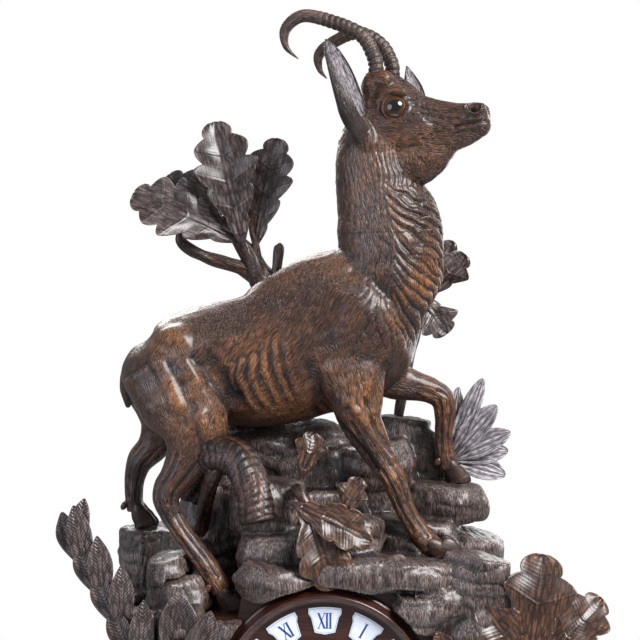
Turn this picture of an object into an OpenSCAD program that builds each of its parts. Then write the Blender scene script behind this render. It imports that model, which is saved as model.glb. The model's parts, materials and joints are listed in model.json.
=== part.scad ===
// Carved wooden shelf clock: a chamois on a rocky summit above a round dial,
// with a spring-driven eight-day movement, a short pendulum and a round door at the back.
// Millimetres. X runs to the right of the dial, Y towards the back, Z up.
// The origin is the middle of the base board's underside.

/* [Base board] */
// Width of the base board
base_w = 440; // [430:5:480]
// Depth of the base board
base_d = 200; // [196:2:220]
// Thickness of the base board
base_h = 26; // [20:1:32]
// Corner radius of the base board
base_corner_r = 34; // [24:1:50]

/* [Rock case] */
// Depth of the case from its dial face to its back
case_d = 146; // [140:1:150]
// Thickness of the wooden wall behind the dial
front_wall = 16; // [14:0.5:18]
// Radius of the round bore that holds the movement
cavity_r = 66; // [64:0.5:70]
// Width of the pendulum slot cut from below
slot_w = 112; // [110:1:120]
// Thickness of the back wall below the round bore
back_wall = 30; // [24:1:34]

/* [Dial] */
// Height of the dial's centre above the shelf
dial_z = 145; // [143:0.5:150]
// Outer radius of the carved bezel
bezel_r = 80; // [78:0.5:82]
// Width of the bezel's ring
bezel_w = 10; // [9:0.5:11]
// Depth of the bezel from its seat to its front
bezel_d = 15; // [14:0.5:18]
// Thickness of the wooden dial board
dial_t = 6; // [5:0.5:7]
// Gap between the bezel's bore and the outer edges of the numeral plaques
plaque_gap = 4; // [3:0.5:6]
// Height of one enamel plaque
plaque_h = 20; // [16:0.5:21]
// Width of one enamel plaque at its outer edge
plaque_w = 24; // [18:0.5:25]
// Thickness of one enamel plaque
plaque_t = 1.6; // [1.4:0.1:2]

/* [Hands] */
// Length of the minute hand from its centre
minute_hand_l = 55; // [48:1:60]
// Length of the hour hand from its centre
hour_hand_l = 38; // [32:1:42]
// Thickness of each hand
hand_t = 1; // [0.8:0.1:1.2]

/* [Movement] */
// Radius of the round plates
plate_r = 49; // [48.5:0.5:52]
// Thickness of each plate
plate_t = 2; // [1.6:0.1:2.2]
// Distance between the plates
plate_gap = 24; // [24:0.5:26]
// Radius of the pillars
pillar_r = 2.8; // [2.4:0.1:3]
// Thickness of each train wheel
wheel_t = 1.2; // [1:0.1:1.3]
// Radius of the slender arbors
arbor_r = 0.7; // [0.6:0.02:0.72]
// Radius of the barrel arbors
barrel_arbor_r = 2.6; // [2.4:0.1:3]
// Outer radius of the mainspring barrels
barrel_r = 14.4; // [13.6:0.2:15]
// Number of turns of each mainspring
spring_turns = 7; // [5:1:8]
// Radial clearance of every running fit
running = 0.08; // [0.05:0.01:0.09]
// Share of the tooth pitch that one tooth fills
tooth_share = 0.4; // [0.34:0.01:0.42]

/* [Pendulum and gong] */
// Distance from the suspension to the middle of the bob
pendulum_l = 120; // [114:1:122]
// Radius of the pendulum bob
bob_r = 13; // [11:0.5:15]
// Thickness of the pendulum bob
bob_t = 7; // [5:0.5:8]
// Outer radius of the coil gong
gong_r = 32; // [30:0.5:33]
// Radius of the gong's steel wire
gong_wire_r = 1.6; // [1.4:0.1:1.8]
// Number of turns of the gong
gong_turns = 3; // [2:1:4]

/* [Back door] */
// Radius of the back door
door_r = 70; // [70:0.5:72]
// Thickness of the back door
door_t = 5; // [4:0.5:6]
// Gap round the back door
door_gap = 0.5; // [0.4:0.1:0.8]

/* [Carving] */
// Thickness of the carved leaves
leaf_t = 3.2; // [2.6:0.1:4]
// Depth of the bays between the lobes of an oak leaf
lobe_depth = 0.42; // [0.3:0.02:0.5]
// Radius of the oak branch at its foot
branch_r = 8; // [7:0.5:9]
// Radius of the horns at their bases
horn_r = 6; // [5:0.25:6.5]
// Radius of the glass eyes
eye_r = 9; // [8:0.25:9.5]

/* [Hidden] */
$fn = 48;

// Levels of the case
face_y = -74;
back_y = face_y + case_d;
wall_y = face_y + front_wall;
case_top = dial_z + 91;
step_top = dial_z + 56;
seat_gap = 0.3;
front_limit = 4 - base_d / 2;
front_set = 96;

// Dial and hands, measured forward from the front plate
dial_board_r = bezel_r - bezel_w + 3;
dial_front = face_y - dial_t;
hole_r = 44;
plaque_ring_r = bezel_r - bezel_w - plaque_gap - plaque_h / 2;
hand_step = 3;
hour_y = dial_front - 2.5;
minute_y = hour_y - hand_step;

// Planes of the movement
plate_y = wall_y;
inner_y = plate_y + plate_t;
rear_y = inner_y + plate_gap;
train_end = plate_gap;

// Tooth counts and modules of the going train
barrel_m = 0.42;
barrel_teeth = 84;
low_pinion = 12;
second_m = 0.4;
second_teeth = 72;
centre_m = 0.3;
third_m = 0.28;
fast_teeth = 96;
fast_pinion = 8;
escape_teeth = 36;
escape_r = 10.5;

// Tooth counts and modules of the strike train
pin_teeth = 72;
pin_m = 0.3;
locking_teeth = 64;
locking_m = 0.26;

// Tooth counts and modules of the motion work
cannon_teeth = 12;
cannon_m = 0.5;
minute_teeth = 36;
minute_pinion = 10;
hour_m = 0.48;
hour_teeth = 40;

function apart(m, a, b) = m * (a + b) / 2;
function polar(r, a) = [r * cos(a), r * sin(a)];
function heading(a, b) = atan2(b[1] - a[1], b[0] - a[0]);
// Centre that lies at distance ra from a and rb from b, to the left of the way from a to b
function meet(a, ra, b, rb) =
    let (d = norm(b - a), h = heading(a, b),
         c = acos((ra * ra + d * d - rb * rb) / (2 * ra * d)))
    a + polar(ra, h + c);

// Arbor places seen from the front, from the dial's centre
centre_at = [0, 0];
going_at = [22, -17];
strike_at = [-22, -17];
intermediate_at = meet(centre_at, apart(second_m, second_teeth, low_pinion),
                       going_at, apart(barrel_m, barrel_teeth, low_pinion));
third_at = polar(apart(centre_m, fast_teeth, fast_pinion), 75);
escape_rise = sqrt(pow(apart(third_m, fast_teeth, fast_pinion), 2) - pow(third_at[0], 2));
escape_at = [0, third_at[1] + escape_rise];
anchor_span = 42.5;
anchor_at = [0, escape_at[1] + escape_r / cos(anchor_span)];
second_at = strike_at + polar(apart(barrel_m, barrel_teeth, low_pinion), 86);
pin_at = second_at + polar(apart(second_m, second_teeth, fast_pinion), 83);
locking_at = pin_at + polar(apart(pin_m, pin_teeth, fast_pinion), 100);
fly_at = locking_at + polar(apart(locking_m, locking_teeth, fast_pinion), 20);
hammer_at = [-36, 10];
minute_at = [0, apart(cannon_m, cannon_teeth, minute_teeth)];
pillar_places = [[36, 26], [-36, 26], [12, -43], [-12, -43]];
ear_angles = [14, 166, 200, 340];
ear_place_r = plate_r + 5;

// Layers between the plates, measured back from the front plate
great_t = 1.6;
great_at = 1;
drum_at = great_at + great_t;
drum_t = 14.8;
pin_layer = 11.5;
third_layer = 8;
locking_layer = 5;
escape_layer = 16.5;
second_layer = 18.4;
centre_layer = 20.9;

// Pendulum and gong behind the back plate
crutch_y = rear_y + plate_t + 3;
cock_y = rear_y + plate_t + 7;
pendulum_y = cock_y + 5;
gong_y = pendulum_y + 14;
gong_z = base_h + 16 + gong_r;
anchor_z = dial_z + anchor_at[1];

// Vector helpers
function unit(v) = v / norm(v);
function part3(v) = [v[0], v[1], v[2]];
// Point of a smooth curve through p at segment i and share t
function through(p, i, t) =
    let (n = len(p) - 1, a = p[max(i - 1, 0)], b = p[i], c = p[min(i + 1, n)], d = p[min(i + 2, n)])
    b + t * ((c - a) / 2 + t * (a - 2.5 * b + 2 * c - d / 2 + t * (1.5 * (b - c) + (d - a) / 2)));
function smooth(p, n) =
    concat([for (i = [0:len(p) - 2]) for (k = [0:n - 1]) through(p, i, k / n)], [p[len(p) - 1]]);
// Faces of a closed skin over rings of equal size
function skin_faces(rings, n) = concat(
    [for (i = [0:rings - 2]) for (k = [0:n - 1]) let (a = i * n + k, b = i * n + (k + 1) % n)
        each [[a, b, b + n], [a, b + n, a + n]]],
    [[for (k = [n - 1:-1:0]) k]],
    [[for (k = [0:n - 1]) (rings - 1) * n + k]]);
function path_way(s, i) = unit(part3(s[min(i + 1, len(s) - 1)]) - part3(s[max(i - 1, 0)]));
// Ring of n points: half width a across the way, half depth b square to it
function ring_at(s, i, n, across) =
    let (w = path_way(s, i), u = unit(across - (across * w) * w), v = cross(u, w))
    [for (k = [0:n - 1]) part3(s[i]) + s[i][3] * cos(360 * k / n) * u + s[i][4] * sin(360 * k / n) * v];

// Limb, neck or branch: stations are x, y, z, half width and half depth
module limb(stations, steps = 2, n = 12, across = [0, 1, 0]) {
    s = smooth(stations, steps);
    polyhedron([for (i = [0:len(s) - 1]) each ring_at(s, i, n, across)], skin_faces(len(s), n));
}

// Round stem along a path of x, y, z and radius
module stem(path, steps = 3, n = 8, across = [0, 1, 0]) {
    limb([for (p = path) [p[0], p[1], p[2], p[3], p[3]]], steps, n, across);
}

// Wheel blank with straight-sided teeth, drawn flat
module toothed(teeth, m, phase, addendum = 0.8, dedendum = 1.1) {
    r = m * teeth / 2;
    pitch = 360 / teeth;
    foot = pitch * (tooth_share + 0.12) / 2;
    tip = pitch * (tooth_share - 0.2) / 2;
    polygon([for (i = [0:teeth - 1]) for (p = [[-foot, r - dedendum * m], [-tip, r + addendum * m],
                                              [tip, r + addendum * m], [foot, r - dedendum * m]])
        polar(p[1], phase + i * pitch + p[0])]);
}

// Slab between two layers behind the front plate, drawn flat as seen from the front
module layer(from, to, base_y = inner_y) {
    translate([0, base_y + to, dial_z])
        rotate([90, 0, 0])
            linear_extrude(to - from)
                children();
}

// Round rod between two layers, at a place seen from the front
module rod(at, r, from, to, base_y = inner_y) {
    translate([at[0], base_y + to, dial_z + at[1]])
        rotate([90, 0, 0])
            cylinder(r = r, h = to - from);
}

// Crossed-out train wheel with a hub
module train_wheel(at, teeth, m, phase, from, thick, hub_r, spokes = 4) {
    r = m * teeth / 2;
    rim = r - 1.1 * m - 1.3;
    layer(from, from + thick)
        translate(at)
            difference() {
                toothed(teeth, m, phase);
                difference() {
                    circle(r = rim);
                    circle(r = hub_r + 1.4);
                    for (i = [0:spokes - 1])
                        rotate(45 + i * 360 / spokes)
                            translate([0, -0.6])
                                square([r, 1.2]);
                }
            }
}

module leaf_pinion(at, teeth, m, phase, from, to) {
    layer(from, to)
        translate(at)
            toothed(teeth, m, phase, 0.6, 0.95);
}

// Arbor with its two pivots, ending in both plates
module arbor(at, r, pivot_r = 0.4, to = train_end) {
    rod(at, r, 0.3, to - 0.3);
    rod(at, pivot_r, -plate_t, to + plate_t);
}

// Rounded board drawn flat
module rounded(w, d, r) {
    square([w - 2 * r, d], center = true);
    square([w, d - 2 * r], center = true);
    for (x = [-1, 1])
        for (y = [-1, 1])
            translate([x * (w / 2 - r), y * (d / 2 - r)])
                circle(r = r, $fn = 96);
}

// Base board and case

module base_board() {
    color("#3a2318")
        for (step = [[0.4, 0], [0.65, 4], [1, 9]])
            linear_extrude(base_h * step[0])
                rounded(base_w - 2 * step[1], base_d - 2 * step[1], base_corner_r - step[1]);
}

// Front outline of the case block, with a lower step at the left
module case_outline() {
    polygon([[-168, base_h], [168, base_h], [164, dial_z - 55], [150, dial_z - 5], [138, dial_z + 40],
             [118, case_top], [-58, case_top], [-64, step_top], [-150, step_top], [-154, dial_z - 5],
             [-164, dial_z - 55]]);
}

module case_block(depth = case_d) {
    translate([0, face_y + depth, 0])
        rotate([90, 0, 0])
            linear_extrude(depth)
                case_outline();
}

module along_y(at, r, from, to) {
    translate([at[0], to, dial_z + at[1]])
        rotate([90, 0, 0])
            cylinder(r = r, h = to - from, $fn = 128);
}

module rock_case() {
    color("#3d281d")
        difference() {
            case_block();
            along_y([0, 0], cavity_r, wall_y, back_y + 1);
            along_y([0, 0], hole_r, face_y - 1, wall_y + 1);
            along_y([0, 0], door_r + door_gap, back_y - door_t, back_y + 1);
            translate([-slot_w / 2, wall_y, base_h - 1])
                cube([slot_w, back_y - back_wall - wall_y, dial_z - base_h]);
            for (a = ear_angles)
                along_y(polar(ear_place_r, a), 1.5, wall_y - 10, wall_y + 1);
            along_y(button_at, 1.5, back_y - 12, back_y + 1);
        }
}

// Back door, its hinge and its turn button

hinge_x = door_r + 3;
knuckle_r = 2.6;
hinge_pin_r = 1.2;
hinge_h = 42;
leaf_reach = 15;
hinge_leaf_t = 1.2;
hinge_y = back_y + knuckle_r;
button_at = [-(door_r + 7), 0];

module knuckle(from, to) {
    translate([hinge_x, hinge_y, dial_z + from])
        cylinder(r = knuckle_r, h = to - from);
}

module hinge_bore() {
    translate([hinge_x, hinge_y, dial_z - hinge_h])
        cylinder(r = hinge_pin_r + running, h = 2 * hinge_h);
}

module back_door() {
    third = hinge_h / 6 - 0.3;
    color("#4a2f20")
        difference() {
            union() {
                along_y([0, 0], door_r, back_y - door_t, back_y);
                along_y([0, 0], cavity_r - 1, back_y - door_t - 3, back_y - door_t);
                translate([hinge_x - leaf_reach, back_y, dial_z - third])
                    cube([leaf_reach, hinge_leaf_t, 2 * third]);
                knuckle(-third, third);
                along_y([-48, 0], 2.4, back_y, back_y + 5);
                along_y([-48, 0], 4, back_y + 5, back_y + 8);
            }
            hinge_bore();
            for (x = [-24, 0, 24])
                for (z = [-24, 0, 24])
                    along_y([x, z], 4, back_y - door_t - 4, back_y + 1);
        }
}

module door_hinge() {
    color("#b08d4c")
        difference() {
            union() {
                translate([hinge_x, back_y, dial_z - hinge_h / 2])
                    cube([leaf_reach, hinge_leaf_t, hinge_h]);
                knuckle(-hinge_h / 2, hinge_h / 2);
            }
            hinge_bore();
            translate([hinge_x - knuckle_r - 1, back_y - 1, dial_z - hinge_h / 6])
                cube([knuckle_r + leaf_reach / 3, 3 * knuckle_r, hinge_h / 3]);
            for (z = [-14, 14])
                along_y([hinge_x + leaf_reach - 5, z], 1.4, back_y - 1, back_y + 5);
        }
}

module door_pin() {
    color("#8f8f8f")
        translate([hinge_x, hinge_y, dial_z - hinge_h / 2 - 1]) {
            cylinder(r = hinge_pin_r, h = hinge_h + 1);
            cylinder(r = hinge_pin_r + 0.8, h = 0.9);
        }
}

module door_button() {
    color("#b08d4c")
        difference() {
            union() {
                along_y(button_at, 5, back_y + 0.1, back_y + 2.1);
                translate([button_at[0] - 2.6, back_y + 0.1, dial_z])
                    cube([5.2, 2, 18]);
            }
            along_y(button_at, 1.5 + running, back_y, back_y + 3);
        }
}

module button_screw() {
    color("#a9a9a9") {
        along_y(button_at, 1.5, back_y - 11, back_y + 2.2);
        along_y(button_at, 3, back_y + 2.2, back_y + 3.4);
    }
}

// Dial, numerals and bezel

module dial_board() {
    color("#4b2a1d")
        difference() {
            union() {
                along_y([0, 0], dial_board_r, dial_front, face_y);
                along_y([0, 0], hole_r - 0.4, face_y, face_y + 3);
                along_y([0, 0], 9, dial_front - 0.8, dial_front);
            }
            along_y([0, 0], 4, dial_front - 2, face_y + 4);
            for (at = [going_at, strike_at])
                along_y(at, 5, dial_front - 1, face_y + 4);
            along_y([0, 0], hole_r - 8, face_y - 1, face_y + 4);
            for (i = [0:11])
                plaque_block(i, dial_front - 1, dial_front + 0.6, 0.1);
        }
}

// One shield-shaped plaque between two planes, wider by gap all round
module plaque_block(i, from, to, gap = 0) {
    r1 = plaque_ring_r + plaque_h / 2 + gap;
    r0 = plaque_ring_r - plaque_h / 2 - gap;
    top = plaque_w / 2 + gap;
    foot = top * 0.62;
    translate([0, to, dial_z])
        rotate([90, 0, 0])
            linear_extrude(to - from)
                rotate(-30 * i)
                    intersection() {
                        circle(r = r1, $fn = 96);
                        polygon([[-foot, r0 + 1.5], [0, r0], [foot, r0 + 1.5], [top - 2, r1 - 8], [top, r1 - 5],
                                 [top, r1 + 1], [-top, r1 + 1], [-top, r1 - 5], [2 - top, r1 - 8]]);
                    }
}

module numeral_plaques() {
    color("#f4f6fb")
        for (i = [0:11])
            plaque_block(i, dial_front + 0.6 - plaque_t, dial_front + 0.6);
}

// Turned ring: radius and height pairs from the seat forward
module bezel() {
    inner = bezel_r - bezel_w;
    seat = dial_board_r + 0.2;
    lip = dial_t + 0.2;
    color("#46291c")
        translate([0, face_y, dial_z])
            rotate([90, 0, 0])
                rotate_extrude($fn = 128)
                    polygon([[seat, 0], [bezel_r, 0], [bezel_r, 4], [bezel_r - 1.5, 5], [bezel_r - 1.5, 7],
                             [bezel_r - 3.2, bezel_d - 3.5], [bezel_r - 4.2, bezel_d - 0.8],
                             [bezel_r - 5.6, bezel_d], [inner + 2.6, bezel_d - 0.6], [inner + 2, bezel_d - 2.6],
                             [inner, bezel_d - 4], [inner, lip], [seat, lip]]);
}

module winding_eyelets() {
    color("#c09a53")
        for (at = [going_at, strike_at])
            difference() {
                union() {
                    along_y(at, 5, dial_front - 0.8, face_y);
                    along_y(at, 6.6, dial_front - 0.8, dial_front);
                }
                along_y(at, 4, dial_front - 1, face_y + 1);
            }
}

// Hands: outlines drawn flat with the hand pointing up

module pierced_hand(reach, boss_r, width) {
    low = reach * 0.34;
    high = reach * 0.62;
    difference() {
        union() {
            circle(r = boss_r);
            translate([0, low])
                circle(r = width);
            translate([0, high])
                circle(r = width * 0.7);
            polygon([[1.1, 0], [0.8, high], [1.6, high + 1], [0, reach], [-1.6, high + 1], [-0.8, high], [-1.1, 0]]);
        }
        translate([0, low])
            circle(r = width * 0.5);
        translate([0, high])
            circle(r = width * 0.3);
    }
}

module hand_at(front, reach, boss_r, width, bore, turned) {
    translate([0, front + hand_t, dial_z])
        rotate([90, 0, 0])
            linear_extrude(hand_t)
                rotate(turned)
                    difference() {
                        pierced_hand(reach, boss_r, width);
                        circle(r = bore);
                    }
}

cannon_r = 2;
hour_pipe_r = 3;
minute_turn = -60;
hour_turn = 55;

// The hour hand rides on the pipe of its wheel
module hour_hand() {
    pipe_back = plate_y - 4.2;
    color("#efe6cf")
        hand_at(hour_y - hand_t, hour_hand_l, 5.5, 4.6, cannon_r + running, hour_turn);
    color("#b5904d")
        difference() {
            union() {
                along_y([0, 0], hour_pipe_r, hour_y - hand_t / 2, pipe_back);
                translate([0, plate_y - 4.4, dial_z])
                    rotate([90, 0, 0])
                        linear_extrude(wheel_t)
                            toothed(hour_teeth, hour_m, 90);
            }
            along_y([0, 0], cannon_r + running, hour_y - 2, pipe_back + 1);
        }
}

module minute_hand() {
    color("#efe6cf")
        hand_at(minute_y - hand_t, minute_hand_l, 4.6, 3.9, cannon_r, minute_turn);
}

module hand_nut() {
    color("#c5a05a")
        difference() {
            along_y([0, 0], 3.4, minute_y - hand_t - 1.6, minute_y - hand_t);
            along_y([0, 0], cannon_r, minute_y - 3 * hand_t, minute_y);
        }
}

centre_r = 1.2;

module cannon_pinion() {
    color("#b5904d")
        difference() {
            union() {
                along_y([0, 0], cannon_r, minute_y - hand_t - 1.6, plate_y - 1);
                translate([0, plate_y - 1, dial_z])
                    rotate([90, 0, 0])
                        linear_extrude(3)
                            toothed(cannon_teeth, cannon_m, 90 + 180 / cannon_teeth, 0.7, 1);
            }
            along_y([0, 0], centre_r + running, minute_y - 9, plate_y);
        }
}

module minute_wheel() {
    color("#b5904d")
        difference() {
            union() {
                layer(-1.5 - wheel_t, -1.5, plate_y)
                    translate(minute_at)
                        toothed(minute_teeth, cannon_m, -90);
                layer(-6.4, -1.5 - wheel_t, plate_y)
                    translate(minute_at)
                        toothed(minute_pinion, hour_m, -90 + 180 / minute_pinion, 0.6, 1);
            }
            along_y(minute_at, 0.9 + running, plate_y - 8, plate_y + 1);
        }
}

// Movement: plates, pillars and fasteners

going_bores = [[centre_at, 1.5], [going_at, barrel_arbor_r - 0.4], [intermediate_at, 0.6], [third_at, 0.4],
               [escape_at, 0.4]];
strike_bores = [[strike_at, barrel_arbor_r - 0.4], [second_at, 0.6], [pin_at, 0.4], [locking_at, 0.4],
                [fly_at, 0.4], [hammer_at, 0.8]];

module plate_bores(from, to) {
    for (b = concat(going_bores, strike_bores))
        along_y(b[0], b[1] + running, from, to);
    for (at = pillar_places)
        along_y(at, pillar_r * 0.6, from, to);
}

module front_plate() {
    color("#c8a258") {
        difference() {
            layer(0, plate_t, plate_y) {
                circle(r = plate_r);
                for (a = ear_angles)
                    rotate(a) {
                        translate([ear_place_r, 0])
                            circle(r = 5);
                        translate([plate_r - 6, -4])
                            square([ear_place_r - plate_r + 6, 8]);
                    }
            }
            plate_bores(plate_y - 1, plate_y + plate_t + 1);
            along_y(anchor_at, 0.4 + running, plate_y - 1, plate_y + plate_t + 1);
            for (a = ear_angles)
                along_y(polar(ear_place_r, a), 2.1, plate_y - 1, plate_y + plate_t + 1);
        }
        along_y(minute_at, 0.9, plate_y - 7, plate_y + 1);
        for (at = [going_at, strike_at])
            along_y(click_stud(at), click_stud_r, plate_y - 3.2, plate_y + 1);
    }
}

module back_plate() {
    color("#c8a258")
        difference() {
            along_y([0, 0], plate_r, rear_y, rear_y + plate_t);
            plate_bores(rear_y - 1, rear_y + plate_t + 1);
            along_y(anchor_at, 4, rear_y - 1, rear_y + plate_t + 1);
            for (x = [-cock_foot, cock_foot])
                along_y(anchor_at + [x, 0], 1.2, rear_y - 1, rear_y + plate_t + 1);
        }
}

module pillars() {
    color("#c8a258")
        for (at = pillar_places) {
            rod(at, pillar_r, 0, plate_gap);
            rod(at, pillar_r * 0.6, -plate_t, 0);
            rod(at, pillar_r * 0.6, plate_gap, plate_gap + plate_t + 2);
        }
}

module plate_nuts() {
    color("#c5a05a")
        for (at = pillar_places)
            difference() {
                along_y(at, pillar_r + 1, rear_y + plate_t, rear_y + plate_t + 2);
                along_y(at, pillar_r * 0.6, rear_y, rear_y + plate_t + 3);
            }
}

module movement_screws() {
    color("#a9a9a9")
        for (a = ear_angles) {
            along_y(polar(ear_place_r, a), 1.5, plate_y - 9, plate_y + plate_t);
            along_y(polar(ear_place_r, a), 3.2, plate_y + plate_t, plate_y + plate_t + 1.6);
        }
}

// Barrels, winding arbors, ratchets and clicks

module barrel(at, phase) {
    bore = barrel_arbor_r + running;
    inner = barrel_r - 1;
    difference() {
        union() {
            layer(great_at, great_at + great_t)
                translate(at)
                    toothed(barrel_teeth, barrel_m, phase);
            rod(at, barrel_r, drum_at, drum_at + drum_t);
        }
        rod(at, bore, 0, plate_gap);
        rod(at, inner, drum_at, drum_at + drum_t - 1);
    }
}

// Coiled mainspring, drawn as a flat spiral band inside the drum
module coiled_spring(at) {
    inner = barrel_arbor_r + 1.2;
    outer = barrel_r - 1.9;
    steps = 16 * spring_turns;
    band = 0.5;
    layer(drum_at + 0.4, drum_at + drum_t - 1.5)
        translate(at)
            polygon(concat(
                [for (i = [0:steps]) polar(inner + (outer - inner) * i / steps, 22.5 * i)],
                [for (i = [steps:-1:0]) polar(inner + band + (outer - inner) * i / steps, 22.5 * i)]));
}

ratchet_teeth = 16;
ratchet_r = 7;
ratchet_from = 1.2;
click_stud_r = 1;

function click_stud(at) = at + [at[0] > 0 ? 3 : -3, 12];

module barrel_arbor(at) {
    end_r = barrel_arbor_r - 0.4;
    rod(at, barrel_arbor_r, 0.2, plate_gap - 0.2);
    rod(at, end_r, -plate_t - ratchet_from - 1.6, plate_gap + plate_t + 1);
    layer(-ratchet_from - 1.6, -ratchet_from, plate_y)
        translate(at)
            ratchet();
    translate([at[0] - 1.5, dial_front + 1, dial_z + at[1] - 1.5])
        cube([3, plate_y - dial_front - 1 - ratchet_from, 3]);
}

module ratchet() {
    pitch = 360 / ratchet_teeth;
    polygon([for (i = [0:ratchet_teeth - 1]) for (p = [[0, ratchet_r - 1.2], [pitch * 0.15, ratchet_r]])
        polar(p[1], i * pitch + p[0])]);
}

// Click that rests just clear of the ratchet's tips
module click(at) {
    stud = click_stud(at);
    side = at[0] > 0 ? 1 : -1;
    tip_z = ratchet_r + 0.25;
    corners = [stud + [-1.7 * side, 0], stud + [1.2 * side, -0.5], at + [-0.6 * side, tip_z], at + [-2.4 * side, tip_z]];
    difference() {
        layer(-ratchet_from - 1.6, -ratchet_from, plate_y)
            union() {
                translate(stud)
                    circle(r = 2);
                polygon([for (i = [0:3]) corners[side > 0 ? 3 - i : i]]);
            }
        along_y(stud, click_stud_r + running, plate_y - 5, plate_y + 1);
    }
}

module going_barrel() {
    color("#c8a258")
        barrel(going_at, heading(going_at, intermediate_at));
}

module going_spring() {
    color("#53585e")
        coiled_spring(going_at);
}

module going_barrel_arbor() {
    color("#9a9a9a")
        barrel_arbor(going_at);
}

module going_click() {
    color("#9a9a9a")
        click(going_at);
}

module strike_barrel() {
    color("#c8a258")
        barrel(strike_at, heading(strike_at, second_at));
}

module strike_spring() {
    color("#53585e")
        coiled_spring(strike_at);
}

module strike_barrel_arbor() {
    color("#9a9a9a")
        barrel_arbor(strike_at);
}

module strike_click() {
    color("#9a9a9a")
        click(strike_at);
}

// Going train

function facing(from, to, teeth) = heading(from, to) + 180 / teeth;

module intermediate_wheel() {
    color("#c8a258") {
        arbor(intermediate_at, 1, 0.6);
        leaf_pinion(intermediate_at, low_pinion, barrel_m, facing(intermediate_at, going_at, low_pinion),
                    great_at - 0.3, great_at + great_t + 0.3);
        train_wheel(intermediate_at, second_teeth, second_m, heading(intermediate_at, centre_at),
                    second_layer, wheel_t, 1);
    }
}

module centre_wheel() {
    color("#c8a258") {
        rod(centre_at, 1.9, 0.3, train_end - 0.3);
        rod(centre_at, 1.5, -plate_t, train_end + plate_t);
        rod(centre_at, centre_r, minute_y + 1 - inner_y, -plate_t);
        leaf_pinion(centre_at, low_pinion, second_m, facing(centre_at, intermediate_at, low_pinion),
                    second_layer - 0.4, second_layer + wheel_t + 0.4);
        train_wheel(centre_at, fast_teeth, centre_m, heading(centre_at, third_at), centre_layer, wheel_t, 1.9);
    }
}

module third_wheel() {
    color("#c8a258") {
        arbor(third_at, arbor_r);
        leaf_pinion(third_at, fast_pinion, centre_m, facing(third_at, centre_at, fast_pinion),
                    centre_layer - 0.4, centre_layer + wheel_t + 0.4);
        train_wheel(third_at, fast_teeth, third_m, heading(third_at, escape_at), third_layer, wheel_t, arbor_r);
    }
}

module escape_wheel() {
    pitch = 360 / escape_teeth;
    color("#c8a258") {
        arbor(escape_at, arbor_r);
        leaf_pinion(escape_at, fast_pinion, third_m, facing(escape_at, third_at, fast_pinion),
                    third_layer - 0.4, third_layer + wheel_t + 0.4);
        layer(escape_layer, escape_layer + wheel_t)
            translate(escape_at)
                difference() {
                    polygon([for (i = [0:escape_teeth - 1])
                        for (p = [[0, escape_r - 2], [pitch * 0.5, escape_r], [pitch * 0.62, escape_r - 2]])
                            polar(p[1], i * pitch + p[0])]);
                    difference() {
                        circle(r = escape_r - 3.4);
                        circle(r = 2.2);
                        for (a = [0, 60, 120])
                            rotate(a)
                                square([2 * escape_r, 1.1], center = true);
                    }
                }
    }
}

// Anchor between the plates, with its crutch behind the back plate
swing = 2.5;
pallet_gap = 0.6;

module anchor() {
    reach = anchor_at[1] - escape_at[1];
    pallet = polar(escape_r + pallet_gap, 90 - anchor_span);
    color("#8d8f93") {
        rod(anchor_at, 0.9, 0.3, train_end + plate_t + 4);
        rod(anchor_at, 0.4, -plate_t, train_end + plate_t + 9);
        layer(escape_layer, escape_layer + wheel_t)
            translate(escape_at)
                for (s = [-1, 1])
                    polygon([[s * pallet[0], pallet[1]], [s * (pallet[0] + 1.3), pallet[1] + 1.3],
                             [s * 3, reach + 1.6], [0, reach + 2], [0, reach - 1.6],
                             [s * (pallet[0] - 1.2), pallet[1] + 1.6]]);
        layer(train_end + plate_t + 2.4, train_end + plate_t + 3.6)
            translate(anchor_at)
                polygon([[-1.6, 1.6], [1.6, 1.6], [1.1, -42], [-1.1, -42]]);
        for (x = [-1, 1])
            translate([x * (rod_r + 0.35 + 0.6) - 0.6, crutch_y - 0.6, anchor_z - 44])
                cube([1.2, pendulum_y + 3 - crutch_y, 3]);
        translate([-rod_r - 1.55, crutch_y - 0.6, anchor_z - 44])
            cube([2 * rod_r + 3.1, 1.2, 3]);
    }
}

// Cock that carries the anchor's rear pivot and the pendulum's suspension
cock_foot = 14;
cock_t = 2;

module suspension_cock() {
    color("#c8a258")
        difference() {
            union() {
                layer(0, cock_t, cock_y)
                    translate(anchor_at)
                        difference() {
                            polygon([[-cock_foot - 3, -4], [cock_foot + 3, -4], [cock_foot + 3, 4], [6, 8],
                                     [-6, 8], [-cock_foot - 3, 4]]);
                            translate([0, -6])
                                square([4, 4], center = true);
                        }
                for (x = [-cock_foot, cock_foot])
                    along_y(anchor_at + [x, 0], 2.4, rear_y + plate_t, cock_y);
                for (x = [-cock_foot, cock_foot])
                    along_y(anchor_at + [x, 0], 1.1, rear_y, rear_y + plate_t);
                translate([-4, cock_y + cock_t, anchor_z + 2.4])
                    cube([8, pendulum_y + 3 - cock_y - cock_t, 5]);
            }
            along_y(anchor_at, 0.4 + running, cock_y - 1, cock_y + cock_t + 1);
            translate([-0.5, pendulum_y - 2.4, anchor_z])
                cube([1, 6, 5]);
        }
}

// Pendulum: suspension strip, rod, bob and rating nut
module pendulum_rod() {
    color("#8d8f93") {
        translate([-0.12, pendulum_y - 2, anchor_z - 5])
            cube([0.24, 4, 9.6]);
        translate([-2, pendulum_y - 2, anchor_z - 9])
            cube([4, 4, 4.4]);
        translate([0, pendulum_y, anchor_z - pendulum_l - bob_r - 9])
            cylinder(r = rod_r, h = pendulum_l + bob_r + 1);
    }
}

rod_r = 1;

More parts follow.
